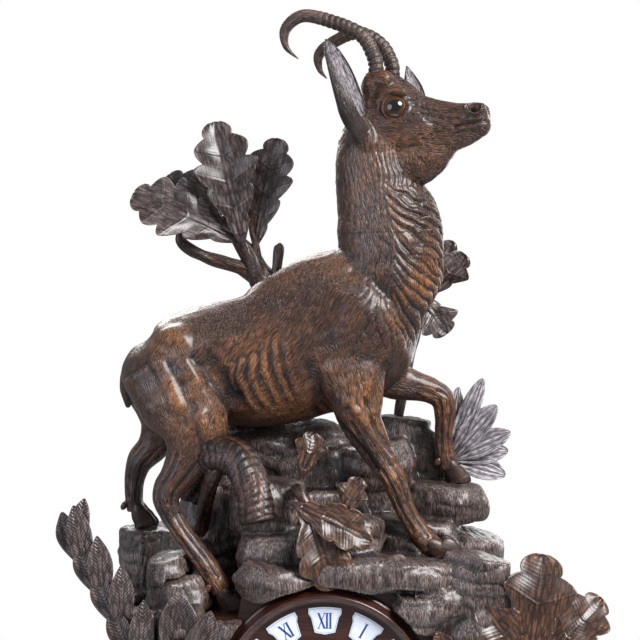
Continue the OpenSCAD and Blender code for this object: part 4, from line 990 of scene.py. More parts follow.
@dataclass
class Chamois:
    """The standing chamois, carved from one block with the head glued on at the throat.

    Stations are x, y, height above the case, half width and half depth, as in the block. Those of
    head, jaw and face count from the skull. Lines on the flanks are x and height, each with the
    stroke's half width and depth, and the bare places are x, height and radius. Muscles and bosses
    are middle and half sizes, on both sides.
    """

    finish: Material
    body_voxel: float = 1.25
    head_voxel: float = 0.8
    joint_height: float = 252.0
    trunk: Stations = (
        (-161, 0, 142, 10, 9), (-152, 0, 142, 23, 22), (-134, 0, 140, 34, 38), (-108, 0, 144, 38, 47),
        (-78, 0, 149, 36, 50), (-48, 0, 153, 37, 55), (-16, 0, 166, 39, 61), (16, 0, 180, 40, 62),
        (42, 0, 192, 39, 54), (54, 0, 199, 33, 35), (62, 0, 206, 26, 23), (68, 0, 212, 12, 12))
    neck: Stations = (
        (46, 0, 190, 34, 31), (51, 0, 216, 35, 41), (53, 0, 238, 33, 42), (50, 0, 264, 30, 41),
        (44, 0, 286, 27, 35), (41, 0, 306, 25, 32.5), (41, 0, 324, 23, 30), (44, 0, 344, 21, 26),
        (46, 0, 360, 18, 20))
    near_fore: Stations = (
        (16, -20, 170, 18, 34), (20, -26, 148, 17, 30), (24, -30, 126, 15, 22), (28, -32, 106, 13, 17),
        (38, -34, 86, 10.5, 13), (45, -36, 74, 9.5, 10.5), (52, -38, 64, 9.6, 10),
        (57, -40, 52, 8.4, 9), (64, -42, 35, 7.8, 8), (73, -43, 21, 8.2, 8.4), (82, -44, 12, 8.6, 8.6))
    far_fore: Stations = (
        (38, 14, 150, 16, 26), (56, 16, 136, 13, 17), (72, 17, 131, 11, 13), (86, 17, 127, 10, 11),
        (96, 17, 121, 9.6, 10.4), (98, 17, 108, 8.4, 8.2), (97, 17, 92, 7.6, 7.4),
        (98, 17, 76, 8.2, 8), (102, 17, 62, 8.4, 8))
    near_hind: Stations = (
        (-122, -14, 150, 22, 40), (-110, -22, 122, 21, 36), (-102, -28, 100, 17, 28),
        (-103, -31, 82, 13, 21), (-112, -34, 66, 10.5, 14.5), (-121, -37, 52, 9.6, 11.5),
        (-119, -39, 38, 8.4, 8.6), (-108, -42, 21, 8, 8), (-95, -45, 5, 8, 8),
        (-85, -47, -9, 8.6, 8.6), (-78, -48, -22, 8.6, 8.2))
    far_hind: Stations = (
        (-132, 10, 140, 18, 34), (-130, 16, 116, 17, 28), (-132, 19, 96, 13, 19),
        (-141, 20, 80, 10.5, 13), (-151, 20, 68, 9.6, 11), (-155, 20, 54, 8.4, 8.4),
        (-156, 20, 40, 7.8, 7.4), (-154, 20, 28, 8.2, 7.8))
    tail: Stations = (
        (-146, 0, 160, 6, 6), (-156, 0, 146, 6, 6), (-159, 0, 130, 5, 5.5), (-157, 0, 113, 2, 2))
    head: Stations = (
        (-24, 0, -10, 15, 24), (-10, 0, -12, 21, 36), (6, 0, -12, 23, 38), (14, 0, -12, 23, 34),
        (22, 0, -12, 21.5, 27.5), (30, 0, -12.5, 18.5, 20.5), (44, 0, -15, 14.5, 18),
        (57, 0, -16.5, 12, 16.5), (70, 0, -16, 10.5, 15), (79, 0, -15.5, 9.5, 12.5),
        (85, 0, -14, 6, 6.5))
    jaw: Stations = (
        (14, 0, -44, 14, 18), (26, 0, -41.5, 16, 22), (34.6, 0, -38.4, 15, 20),
        (43.7, 0, -32.2, 12.5, 17), (55.6, 0, -26.8, 11, 12), (66.3, 0, -24.7, 9.5, 10),
        (75, 0, -22.6, 7.5, 8), (79.5, 0, -21, 5, 5.5))
    ribs: Sequence[tuple[Line, float]] = (
        (((-33.8, 164.6), (-30.5, 144.7), (-25.5, 128.1)), 2.0),
        (((-42.1, 164.6), (-40.4, 144.7), (-33.8, 129.7), (-30.5, 121.5)), 2.2),
        (((-50.4, 158), (-50.4, 143), (-45.4, 131.4), (-40.4, 119.8)), 2.2),
        (((-58.6, 155), (-60.3, 139.7), (-55.4, 126.4), (-48.7, 116.5)), 2.2),
        (((-67, 151.4), (-70.3, 136.4), (-65.3, 123.2), (-57, 113.3)), 2.0),
        (((-75.5, 148), (-77, 138), (-73.6, 128.2)), 1.6))
    hollows: Sequence[tuple[Line, float, float]] = (
        (((-88, 150), (-80, 138), (-70, 124)), 12, 4.5),
        (((-102, 154), (-92, 140), (-82, 122), (-77, 111.5)), 6, 1.7),
        (((-126, 175), (-112, 168), (-106, 152), (-99, 138)), 10, -1.8),
        (((-130, 152), (-120, 136), (-112, 118)), 8, -2.2),
        (((-118, 150), (-108, 134), (-100, 116)), 7, 1.0), (((-94, 111), (-87, 90)), 7, -2.0),
        (((-12, 150), (-8, 132), (-6, 113.2)), 9, 1.8), (((-7.4, 113.2), (-2, 108), (10, 96)), 6, 1.6),
        (((-2.4, 207.7), (22.4, 197.8), (42.3, 182.9), (54, 166.4)), 13, -1.8),
        (((24, 222), (46, 206), (62, 186), (68, 164)), 9, 1.6),
        (((48, 150), (40, 132), (34, 120)), 6, 1.6))
    near_leg_lines: Sequence[tuple[Line, float, float]] = (
        (((-2.4, 118.3), (25.8, 88.4), (39.2, 70)), 3.6, 2.4),
        (((19.3, 121.3), (38, 96), (50.7, 78.5)), 5, -1.8),
        (((30.8, 123.2), (39.2, 101.6), (50.7, 83.4)), 3.0, 1.8),
        (((2, 142), (5, 128), (3, 116)), 2.4, 0.5), (((9, 143), (12, 128), (10, 116)), 2.4, 0.5),
        (((16, 143), (19, 128), (18, 117)), 2.4, 0.5), (((23, 142), (25, 130), (24, 118)), 2.4, 0.5))
    bare_places: Stations = (
        (-48, 138, 24), (-108, 128, 18), (-124, 168, 14), (-20, 116, 20), (28, 132, 15), (84, 206, 15),
        (60, 320, 9), (-86, 106, 12))
    muscles: Sequence[tuple[Numbers, Numbers, float]] = (
        ((24, 22, 172), (34, 21, 50), 8), ((-106, 20, 132), (32, 20, 44), -8),
        ((-112, 22, 166), (18, 14, 16), 0), ((30, 26, 140), (17, 12, 26), 14))
    lumps: Sequence[tuple[Numbers, Numbers, float]] = (
        ((66, -1, 202), (11, 20, 20), 20), ((31, -17, 328), (10, 9.5, 17), -20))
    bosses: Sequence[tuple[Numbers, Numbers]] = (
        ((24, 13.5, -20), (20, 7, 15)), ((2, 12, 19), (10, 9, 9)), ((-7, 12, 16), (9, 9, 12)),
        ((78, 4.5, -10), (7, 5.5, 7)), ((12, 19, 8), (12, 5, 4)))
    chest_front: Stations = ((52, 0, 146, 34, 46), (53, 0, 180, 34, 46))
    tear_ducts: Sequence[tuple[Stations, float, float]] = (
        (((25, 17.5, -9), (29, 16, -12)), 2.6, 2.4),
        (((24, 19, -7), (30, 16.5, -12), (34, 15.5, -17)), 2.2, 1.5))
    mouth: Stations = ((87, 1.5, -16), (84, 6, -17), (76, 9.3, -17.5), (66, 10.6, -19), (60, 11.3, -21))
    nostril: Numbers = (75.5, 7.8, -6.3)
    face_lines: Stations = (
        (3, 26, 0.9), (-3, 30, 0.8), (-9, 34, 0.8), (-15, 38, 0.9), (-23, 30, 0.8), (-29, 36, 0.8))
    hair_lean: float = 56.0
    neck_r: float = 34.0
    throat_heights: Span = (160.0, 294.0)
    lock_width: float = 5.2
    curl_width: float = 10.4
    strand_width: float = 3.3
    tendon_depth: float = 1.2
    joint_margin: float = 6.0

    def lofts(self, **fineness: int) -> list[Loft]:
        """Returns trunk, neck, tail and legs, each as its own loft."""
        return [Loft(stations, **fineness) for stations in (
            self.trunk, self.neck, self.tail, self.near_fore, self.far_fore, self.near_hind, self.far_hind)]

    def block(self) -> Form:
        """Builds all overlapping skins: limbs, head and the muscle lumps."""
        parts = [loft.form() for loft in self.lofts()]
        parts += [Loft(stations).form().placed(head_place) for stations in (self.head, self.jaw)]
        parts += [ball((x, s * y, z), radii, lean) for (x, y, z), radii, lean in self.muscles for s in SIDES]
        parts += [ball(*lump) for lump in self.lumps]
        parts += [ball((x, s * y, z), radii).placed(head_place)
                  for (x, y, z), radii in self.bosses for s in SIDES]
        return merged(parts)

    def carve_body(self, skin: Skin) -> None:
        """Cuts ribs, muscle edges and tendons into trunk and legs.

        Args:
            skin: The body's skin.
        """
        for side in SIDES:
            for rib, depth in self.ribs:
                skin.seen_stroke(rib, 5, 0.2 * depth, side)
                skin.seen_stroke([(x + 4.2, z + 1) for x, z in rib], 3.4, -0.8, side)
            for line, radius, depth in self.hollows:
                skin.seen_stroke(line, radius, depth, side)
        for line, radius, depth in self.near_leg_lines:
            skin.seen_stroke(line, radius, depth)
        for leg, side in ((self.near_fore, -1), (self.near_hind, -1),
                          (self.far_fore, 1), (self.far_hind, 1)):
            for lean in (-0.45, 0.5):
                tendon = [(x + lean * b, y - a, z) for x, y, z, a, b in leg[3:-1]]
                skin.seen_stroke([(x, z) for x, _, z in tendon], 2.4, self.tendon_depth, side)
                if side > 0:
                    skin.stroke(tendon, 2.6, self.tendon_depth)
        skin.push(layered_noise(skin.p, (22, 5, 0.7), (11, 6, 0.5), (5, 7, 0.25)))

    def carve_neck(self, skin: Skin) -> None:
        """Cuts the wavy locks of long hair down the throat and chest.

        Args:
            skin: Any skin that holds part of the neck.
        """
        loft = Loft([*self.chest_front, *self.neck[1:]], steps=3)
        along, x, y, reach = loft.local(skin.p)
        height = skin.p[:, 2]
        off_front = np.abs(np.arctan2(x, y))
        front, girth = np.cos(off_front), self.neck_r * off_front
        bend = layered_noise(skin.p, (17, 9, 3.6), (8, 10, 1.5))
        wave = girth + 3.4 * np.sin(along / 10.5 + 0.9 * np.sin(girth / 10)) + bend
        sweep = along - 0.42 * girth + 12 * np.exp(-girth / 7) - 11 * np.exp((girth - 50) / 9) + 1.4 * bend
        lock = ridges(wave / self.lock_width, 0.6) - 0.62
        curl = ridges(sweep / self.curl_width, 0.6) - 0.62
        strand = ridges((sweep + 0.6 * np.sin(girth / 4)) / self.strand_width) - 0.6
        here = ease((2.0 - reach) / 0.4) * ease((along - 8) / 18) * ease((loft.run[-1] - 34 - along) / 16)
        low, high = self.throat_heights
        throat = ease((front + 0.1) / 0.35) * ease((height - low) / 22) * ease((high - height) / 16)
        side = (0.3 + 0.6 * ease((front + 0.8) / 0.6)) * lock
        skin.push(here * ((1 - throat) * side + throat * (2.7 * curl + 0.9 * strand)))

    def carve_eye(self, skin: Skin, s: int) -> None:
        """Cuts the socket, lid, brow and tear duct of one eye.

        Args:
            skin: The head's skin.
            s: -1 for the near side, 1 for the far side.
        """
        x, y, z = EYE_AT
        for radius, depth in ((14, 3.4), (10.6, 5)):
            skin.stroke(head_place([(x, s * (y + 5.5), z)]), radius, depth)
        lid = [(x + 11.8 * math.cos(t), s * (y + 4.4 - 0.3 * math.cos(t)), z + 11.4 * math.sin(t))
               for t in np.radians(np.arange(0, 361, 20))]
        skin.stroke(head_place(lid), 2.8, -1.3, 2)
        brow = [(x + 14 * math.cos(t), s * (y + 4), z + 13.5 * math.sin(t))
                for t in np.radians(np.arange(25, 165, 15))]
        skin.stroke(head_place(brow), 3.4, -1.3, 2)
        for duct, radius, depth in self.tear_ducts:
            skin.stroke(head_place(mirrored(duct, s)), radius, depth)

    def carve_muzzle(self, skin: Skin, s: int) -> None:
        """Cuts the nostril with its rim, the mouth and the lower lip on one side.

        Args:
            skin: The head's skin.
            s: -1 for the near side, 1 for the far side.
        """
        x, y, z = self.nostril
        hole = np.linalg.norm((head_local(skin.p) - (x, s * y, z)) / (1.5, 1.3, 1.2), axis=1)
        skin.push(1.5 * mound(hole - 4.3, 0.9) - 5.5 * ease((3.6 - hole) / 1.2))
        mouth = mirrored(self.mouth, s)
        skin.stroke(head_place(mouth), 1.8, 1.7)
        skin.stroke(head_place([(x, y, z - 3.2) for x, y, z in mouth[1:]]), 2.6, -0.8)

    def carve_head(self, skin: Skin) -> None:
        """Cuts both sides of the face, its hair lines and the tuft on the forehead.

        Args:
            skin: The head's skin.
        """
        for s in SIDES:
            self.carve_eye(skin, s)
            self.carve_muzzle(skin, s)
            for rise, start, depth in self.face_lines:
                line = [(start, 16.5, rise), (start + 14, 14, rise - 4), (start + 30, 11.5, rise - 5)]
                skin.stroke(head_place(mirrored(line, s)), 1.9, depth)
            for k in range(5):
                x = -2 - 5 * k
                cheek = [(x + 6, 21, -12 - 2 * k), (x, 20, -24), (x - 4, 16, -34)]
                skin.stroke(head_place(mirrored(cheek, s)), 2.3, 1.1)
        for y in (-9, -4.5, 0, 4.5, 9):
            tuft = [(-2, y, 29), (6, y * 0.9, 27), (13, y * 0.8, 23), (20, y * 0.7, 17), (28, y * 0.6, 9)]
            skin.stroke(head_place(tuft), 2.2, -1.3)
        skin.push(layered_noise(skin.p, (7, 21, 0.35), (3, 22, 0.2)))

    def grain(self, p: Points, lofts: Sequence[Loft]) -> dict[str, Points]:
        """Works out which way the hair lies, once for the trunk and once for the nearest limb.

        Args:
            p: Skin points, one a row.
            lofts: Coarse lofts of trunk, neck, tail and legs.

        Returns:
            Both sets of places in metres, the share of the limb's, and how far the wood is rubbed warm.
        """
        x, y, z = p.T
        lean = math.radians(self.hair_lean)
        down, back = math.cos(lean), math.sin(lean)
        trunk = np.stack([-x * down - z * back, x * back - z * down, y], 1)
        local = head_local(p)
        reaches, places = [], []
        for index, loft in enumerate(lofts[1:]):
            along, across, deep, reach = loft.local(p)
            reaches.append(reach)
            places.append(np.stack([along, across, deep], axis=1) + 57.0 * index)
        reaches.append(Loft(self.head, steps=2).local(local)[3] - 0.12)
        places.append(local + 700.0)
        inner = lofts[0].local(p)[3]
        order = np.argsort(np.array(reaches), axis=0)
        rows = np.arange(len(p))
        best, second = (np.array(reaches)[order[k], rows] for k in (0, 1))
        limb = np.array(places)[order[0], rows]
        share = ease((1.45 - best) / 0.35) * ease((second - best) / 0.22)
        share = np.maximum(share, ease((inner - 1.5) / 0.5) * ease((second - best) / 0.1))
        warm = sum(np.exp(-(((x - cx) ** 2 + (z - cz) ** 2) / r ** 2)) for cx, cz, r in self.bare_places)
        return {"grain": trunk * MM, "limb_grain": limb * MM, "limb_share": share,
                "warmth": np.clip(warm, 0, 1) * 0.6}

    def build(self) -> list[Object]:
        """Builds the body and the head."""
        block = self.block()
        coarse = self.lofts(steps=2)
        made = []
        for name, voxel, above in (("chamois_body_carving", self.body_voxel, False),
                                   ("chamois_head_carving", self.head_voxel, True)):
            margin = -self.joint_margin if above else self.joint_margin
            skin = Skin(cut_off(remeshed(block, voxel), self.joint_height + margin, above))
            skin.relax(int(13 / voxel ** 2))
            if above:
                crease = np.linalg.norm((head_local(skin.p) - (30, 0, -50)) / (16, 26, 22), axis=1)
                skin.relax(18, 0.5, ease((1.3 - crease) / 0.5))
                self.carve_head(skin)
            else:
                self.carve_body(skin)
            self.carve_neck(skin)
            skin.relax(1, 0.35)
            cut = cut_off(Form(skin.p, skin.faces), self.joint_height, above)
            values = self.grain(cut.corners, coarse)
            off_joint = np.abs(cut.corners[:, 2] - self.joint_height)
            values["relief"] = Skin(cut).relief(7) * ease(off_joint / self.joint_margin)
            made.append(capped(Form(up(cut.corners), cut.faces, values)).piece(name, self.finish))
        return made


@dataclass
class Horns:
    """Pair of horns, turned by hand with rings and set in the skull on round tenons."""

    finish: Material
    base_r: float = 6.2
    ring_pitch: float = 4.8
    ringed_share: float = 0.66
    near: Stations = (
        (42, -9, 366), (41, -9, 380), (39, -9, 393), (29, -8, 410), (7, -5, 421), (-17, -1, 427),
        (-31, 3, 418), (-31, 5, 404), (-21, 5, 394))
    far: Stations = (
        (56, 9, 366), (55, 10, 380), (54, 10, 392), (45, 12, 408), (27, 13, 417), (9, 15, 411),
        (-4, 17, 401), (-4, 18, 389), (2, 18, 381))

    def horn(self, path: Stations) -> Form:
        """Builds one horn.

        Args:
            path: Its middle line from the skull to the tip.

        Returns:
            The closed form.
        """
        shares = [i / (len(path) - 1) for i in range(len(path))]
        radii = [self.base_r * (1 - 0.3 * t if t < 0.7 else 0.79 * (1 - t) / 0.3 + 0.07) for t in shares]
        loft = Loft([(*at, r, r) for at, r in zip(path, radii)], steps=34, sides=36)

        def rings(run: Points, angle: Points) -> Points:
            """Radius factor of the rings and their beads.

            Args:
                run: Distance along the horn.
                angle: Angle round it.

            Returns:
                Factors about 1.
            """
            fade = ease((self.ringed_share - run / loft.run[-1]) / 0.12)
            turn = run / self.ring_pitch + 0.05 * np.sin(angle * 2)
            rise = ridges(turn, 0.4)
            bead = np.cos(9 * angle + 2.1 * np.floor(turn))
            line = np.cos(15 * angle + run * 0.15)
            return 1 + fade * (0.17 * (rise - 0.66) + 0.012 * rise * bead) + (1 - fade) * 0.012 * line

        return loft.form(rings)

    def build(self) -> Object:
        """Builds both horns as one piece."""
        both = merged([self.horn(path) for path in (self.near, self.far)])
        return both.placed(up).carved(5).piece("ringed_horns", self.finish)


@dataclass
class Ears:
    """Pair of ears: thin shells, hollow in front, with hair lines inside."""

    finish: Material
    near: Stations = (
        (43, -8, 311, 4, 6), (37, -14, 321, 6, 8.5), (29.5, -20.5, 332.5, 7.5, 11),
        (22.8, -26, 344.8, 8, 12.4), (19.6, -28, 355, 7.5, 12.8), (14.2, -30, 370.7, 6, 11.8),
        (9.4, -31.5, 382.7, 4.5, 9.8), (4.5, -32.5, 392.8, 2.8, 6.6), (0.7, -33, 400.5, 0.5, 0.9))
    far: Stations = (
        (64, 12, 336, 4, 6), (69, 15, 349, 5, 9), (73, 18, 361, 5, 10.5), (72.5, 20, 372, 4.2, 9),
        (70, 21, 383, 2.6, 5), (67.5, 22, 392, 0.6, 0.8))
    sides: int = 96
    hairs: float = 5.5
    lip: float = 0.94

    def shell(self, stations: Stations, scoop: Numbers) -> Form:
        """Builds one ear.

        Args:
            stations: Places, half thickness and half width.
            scoop: The way the hollow faces.

        Returns:
            The closed form.
        """
        loft = Loft(stations, across=scoop, steps=14, sides=self.sides)
        turns = ring_angles(self.sides)
        c, s = np.cos(turns), np.sin(turns)
        c = np.where(np.abs(c) < 1e-9, 0.0, c)
        reach = loft.run / loft.run[-1]
        hollow = ease((reach - 0.12) / 0.25) * ease((1.01 - reach) / 0.16)
        right = np.sign(loft.depth[:, 0])
        rows, inside, grain = [], [], []
        for i, (a, b) in enumerate(loft.half):
            edge = 1.5 * (1 - reach[i]) ** 1.3 - 0.86
            across = np.clip((2 * s * right[i] - self.lip - edge) / max(self.lip - edge, 0.05), -1, 1)
            bowl = np.where(c > 0, (1 - across ** 2) ** 0.6, 0.0) * hollow[i]
            hair = 0.8 * ridges(self.hairs * s + 0.8 * np.sin(reach[i] * 9) / math.pi) * bowl
            scooped = bowl * (0.55 * a + 0.5 * b * (self.lip - edge) / 1.8)
            x, y = a * np.where(c > 0, 0.9, 1.15) * c - scooped + hair, b * s
            rows.append(loft.centres[i] + x[:, None] * loft.side[i] + y[:, None] * loft.depth[i])
            inside.append(np.where(bowl > 0.3, 0.5, -0.5))
            grain.append(np.stack([loft.run[i] + 0 * s, b * s, a * c], axis=1) * MM)
        return Form(np.concatenate(rows), loft.form().faces,
                    {"grain": np.concatenate(grain), "inside": np.concatenate(inside)})

    def build(self) -> Object:
        """Builds both ears as one piece."""
        both = merged([self.shell(self.near, (0.62, -0.78, 0.1)), self.shell(self.far, (0.25, -0.95, 0.1))])
        both = both.placed(up)
        # The inside value lifts the hollow of each ear to the pale colours, a painted sheen, and sinks the
        # back to the dark colour, painted shade.
        both.values["relief"] = 0.5 * Skin(both).relief(4) + 1.2 * both.values.pop("inside")
        return both.piece("hollow_ears", self.finish)


@dataclass
class Hooves:
    """Cloven hooves: two pointed claws on each foot."""

    finish: Material
    places: Sequence[tuple[Numbers, float, float]] = (
        ((90, -45, 5), 22, 2.3), ((107, 17, 52), 18, 1.0), ((-72, -49, -35), 21, 1.2),
        ((-148, 20, 16), 18, 1.0))
    cleft: float = 4.4

    def claw(self, at: Numbers, long: float, lean: float, side: int) -> Form:
        """Builds one claw.

        Args:
            at: Middle of the foot's sole.
            long: Length of the sole.
            lean: How far the top lies back, 1 for an upright foot.
            side: -1 for the claw nearer the front of the clock, 1 for the other.

        Returns:
            The closed form.
        """
        x, y, z = at
        y += side * self.cleft
        half = long / 2
        rise = 1 / math.sqrt(lean)
        upper = [(x - back * lean, y, z + high * rise, a, b)
                 for back, high, a, b in ((5, 18, 3.6, 4), (3.6, 14, 4.4, 6), (1.8, 9, 4.5, 7.4))]
        sole = [(x + 0.5, y, z + 4.5, 4.4, half * 0.86), (x + 1.8, y, z + 1.2, 4.3, half),
                (x + 2, y, z + 0.1, 3.9, half - 0.8)]

        def toe(run: Points, angle: Points) -> Points:
            """Radius factor that points the toe and flattens the cleft.

            Args:
                run: Distance down the claw.
                angle: Angle round it.

            Returns:
                Factors about 1.
            """
            point = np.maximum(-np.sin(angle), 0) ** 6
            ribs = 0.012 * np.cos(run * 2 * math.pi / 2.4)
            return 1 + 0.16 * point * ease((run - 6) / 8) - 0.06 * np.abs(np.sin(2 * angle)) + ribs

        return Loft([*upper, *sole], steps=5, sides=40).form(toe)

    def build(self) -> Object:
        """Builds all four hooves, with their dew claws, as one piece."""
        claws = [self.claw(at, long, lean, side) for at, long, lean in self.places for side in SIDES]
        dew = [ball((x - 11 - 4 * lean, y + s * 4.5, z + 17), (2.6, 2.2, 4), 30, 8)
               for (x, y, z), _, lean in self.places for s in SIDES]
        whole = merged([*claws, *[Form(d.corners, d.faces, {"grain": d.corners * MM}) for d in dew]])
        return whole.placed(up).carved(5).piece("cloven_hooves", self.finish)


@dataclass
class Eyes:
    """Pair of glass eyes in their sockets, each with its iris facing out and a carved lid round it."""

    finish: Material
    lid_finish: Material
    look: Numbers = (0.28, 1.0, 0.06)
    lid_r: float = 9.7
    lid_tube: float = 1.5
    lid_rings: int = 72
    lid_sides: int = 14

    def lid(self, centre: Points, look: Vector) -> Form:
        """Builds the rim of the lids, drawn out to a tear duct in front.

        Args:
            centre: The eye's middle.
            look: The way that it faces.

        Returns:
            The closed ring.
        """
        ahead = np.array(look)
        nose = head_way((1, 0, -0.35))
        first = unit(nose - (nose @ ahead) * ahead)
        second = np.cross(ahead, first)
        t, q = np.meshgrid(ring_angles(self.lid_rings), ring_angles(self.lid_sides), indexing="ij")
        duct = np.maximum(np.cos(t), 0) ** 14
        tube = self.lid_tube * (1 - 0.35 * duct) * (1 + 0.12 * np.sin(9 * t))
        r = self.lid_r + 3.6 * duct + tube * np.cos(q)
        lift = math.sqrt(EYE_R ** 2 - self.lid_r ** 2) + 0.5 - 2.0 * duct + self.lid_tube * np.sin(q)
        corners = centre + (r * np.cos(t))[..., None] * first
        corners = corners + (r * np.sin(t) * (1 - 0.06 * duct))[..., None] * second
        corners = (corners + lift[..., None] * ahead).reshape(-1, 3)
        faces = ring_faces(self.lid_rings, self.lid_sides, closed=True)
        # Relief is lower on the half of the ring towards the head, so that half takes the dark hollow
        # colour: stain and painted shade where the lid meets the eye.
        return Form(up(corners), faces, {"grain": corners * MM, "relief": np.sin(q).ravel() * 0.5})

    def build(self) -> list[Object]:
        """Builds both eyes and their lids."""
        made, lids = [], []
        for s, name in zip(SIDES, ("near_glass_eye", "far_glass_eye")):
            centre = head_place(mirrored([EYE_AT], s))[0]
            look = Vector(head_way(mirrored([self.look], s)[0])).normalized()
            eye = ball((0, 0, 0), (EYE_R, EYE_R, EYE_R), rings=28).piece(name, self.finish)
            eye.rotation_euler = look.to_track_quat("Z", "Y").to_euler()
            eye.location = Vector(up(centre) * MM)
            made.append(eye)
            lids.append(self.lid(centre, look))
        return [*made, merged(lids).piece("eye_lids", self.lid_finish)]


# Rocks


@dataclass
class Rocks:
    """Rock forms from the block, rounded, notched along their ledges and tooled with a gouge."""

    finish: Material
    node: str
    name: str
    voxel: float = 1.8
    seed: int = 1
    backing: Sequence[tuple[Numbers, Numbers]] = ()
    bed_height: float = 13.0
    flute_width: float = 7.2
    notch_width: float = 4.6
    furrow_width: float = 5.4

    def build(self) -> Object:
        """Builds the rocks over their node's own shape."""
        source = frame["nodes"][self.node].data
        p = np.empty(len(source.vertices) * 3)
        source.vertices.foreach_get("co", p)
        p = p.reshape(-1, 3) / MM
        rough = Form(p, [tuple(f.vertices) for f in source.polygons])
        behind = [ball(centre, radii).placed(up) for centre, radii in self.backing]
        skin = Skin(remeshed(merged([rough, *behind]), self.voxel))
        skin.relax(6)
        skin.push(self.tooling(skin) * (p[:, 1].max() - skin.p[:, 1] > 0.5))
        skin.relax(1, 0.5)
        skin.p[:, 2] = np.maximum(skin.p[:, 2], BASE_TOP + 0.05)
        values = {"relief": skin.relief(6), "grain": skin.p * MM}
        return Form(skin.p, skin.faces, values).piece(self.name, self.finish)

    def tooling(self, skin: Skin) -> Points:
        """Works out the gouge work: beds and flutes on the walls, facets, and notches on the edges.

        Args:
            skin: The rocks' smooth skin.

        Returns:
            Millimetres outwards at each corner.
        """
        upright = skin.normals()[:, 2]
        x, y, z = skin.p.T
        noise = [value_noise(skin.p, cell, self.seed + k) for k, cell in enumerate((34, 12, 19, 8, 26))]
        bend = 5 * noise[0] + 2 * noise[1]
        beds = ridges((z + 0.12 * x + 1.6 * bend) / self.bed_height, 0.6) - 0.75
        flutes = ridges((x + 0.5 * y + 1.6 * bend) / self.flute_width, 0.5) - 0.6
        facets = 2.2 * np.abs(noise[2]) + 0.8 * np.abs(noise[3])
        patch = ease(noise[4] + 0.5)
        notches = 1 - ridges((x + 0.8 * y + bend) / self.notch_width, 0.7)
        furrows = ridges((x + 0.35 * y + bend) / self.furrow_width) - 0.6
        steep = ease((0.75 - np.abs(upright)) / 0.4)
        edge = ease((skin.relief(14) - 0.15) / 0.5)
        top = ease((upright - 0.5) / 0.3)
        walls = steep * (1.7 * patch * beds + 0.8 * (1 - patch) * flutes)
        amount = walls + facets - 1.4 - 0.9 * edge * notches + 0.6 * top * furrows
        return np.clip(amount, -3.2, 1.4)


# Foliage


class LeafKind(Enum):
    """Outline and veins of a carved leaf."""

    OAK = "oak"
    PINNATE = "pinnate"
    FAN = "fan"


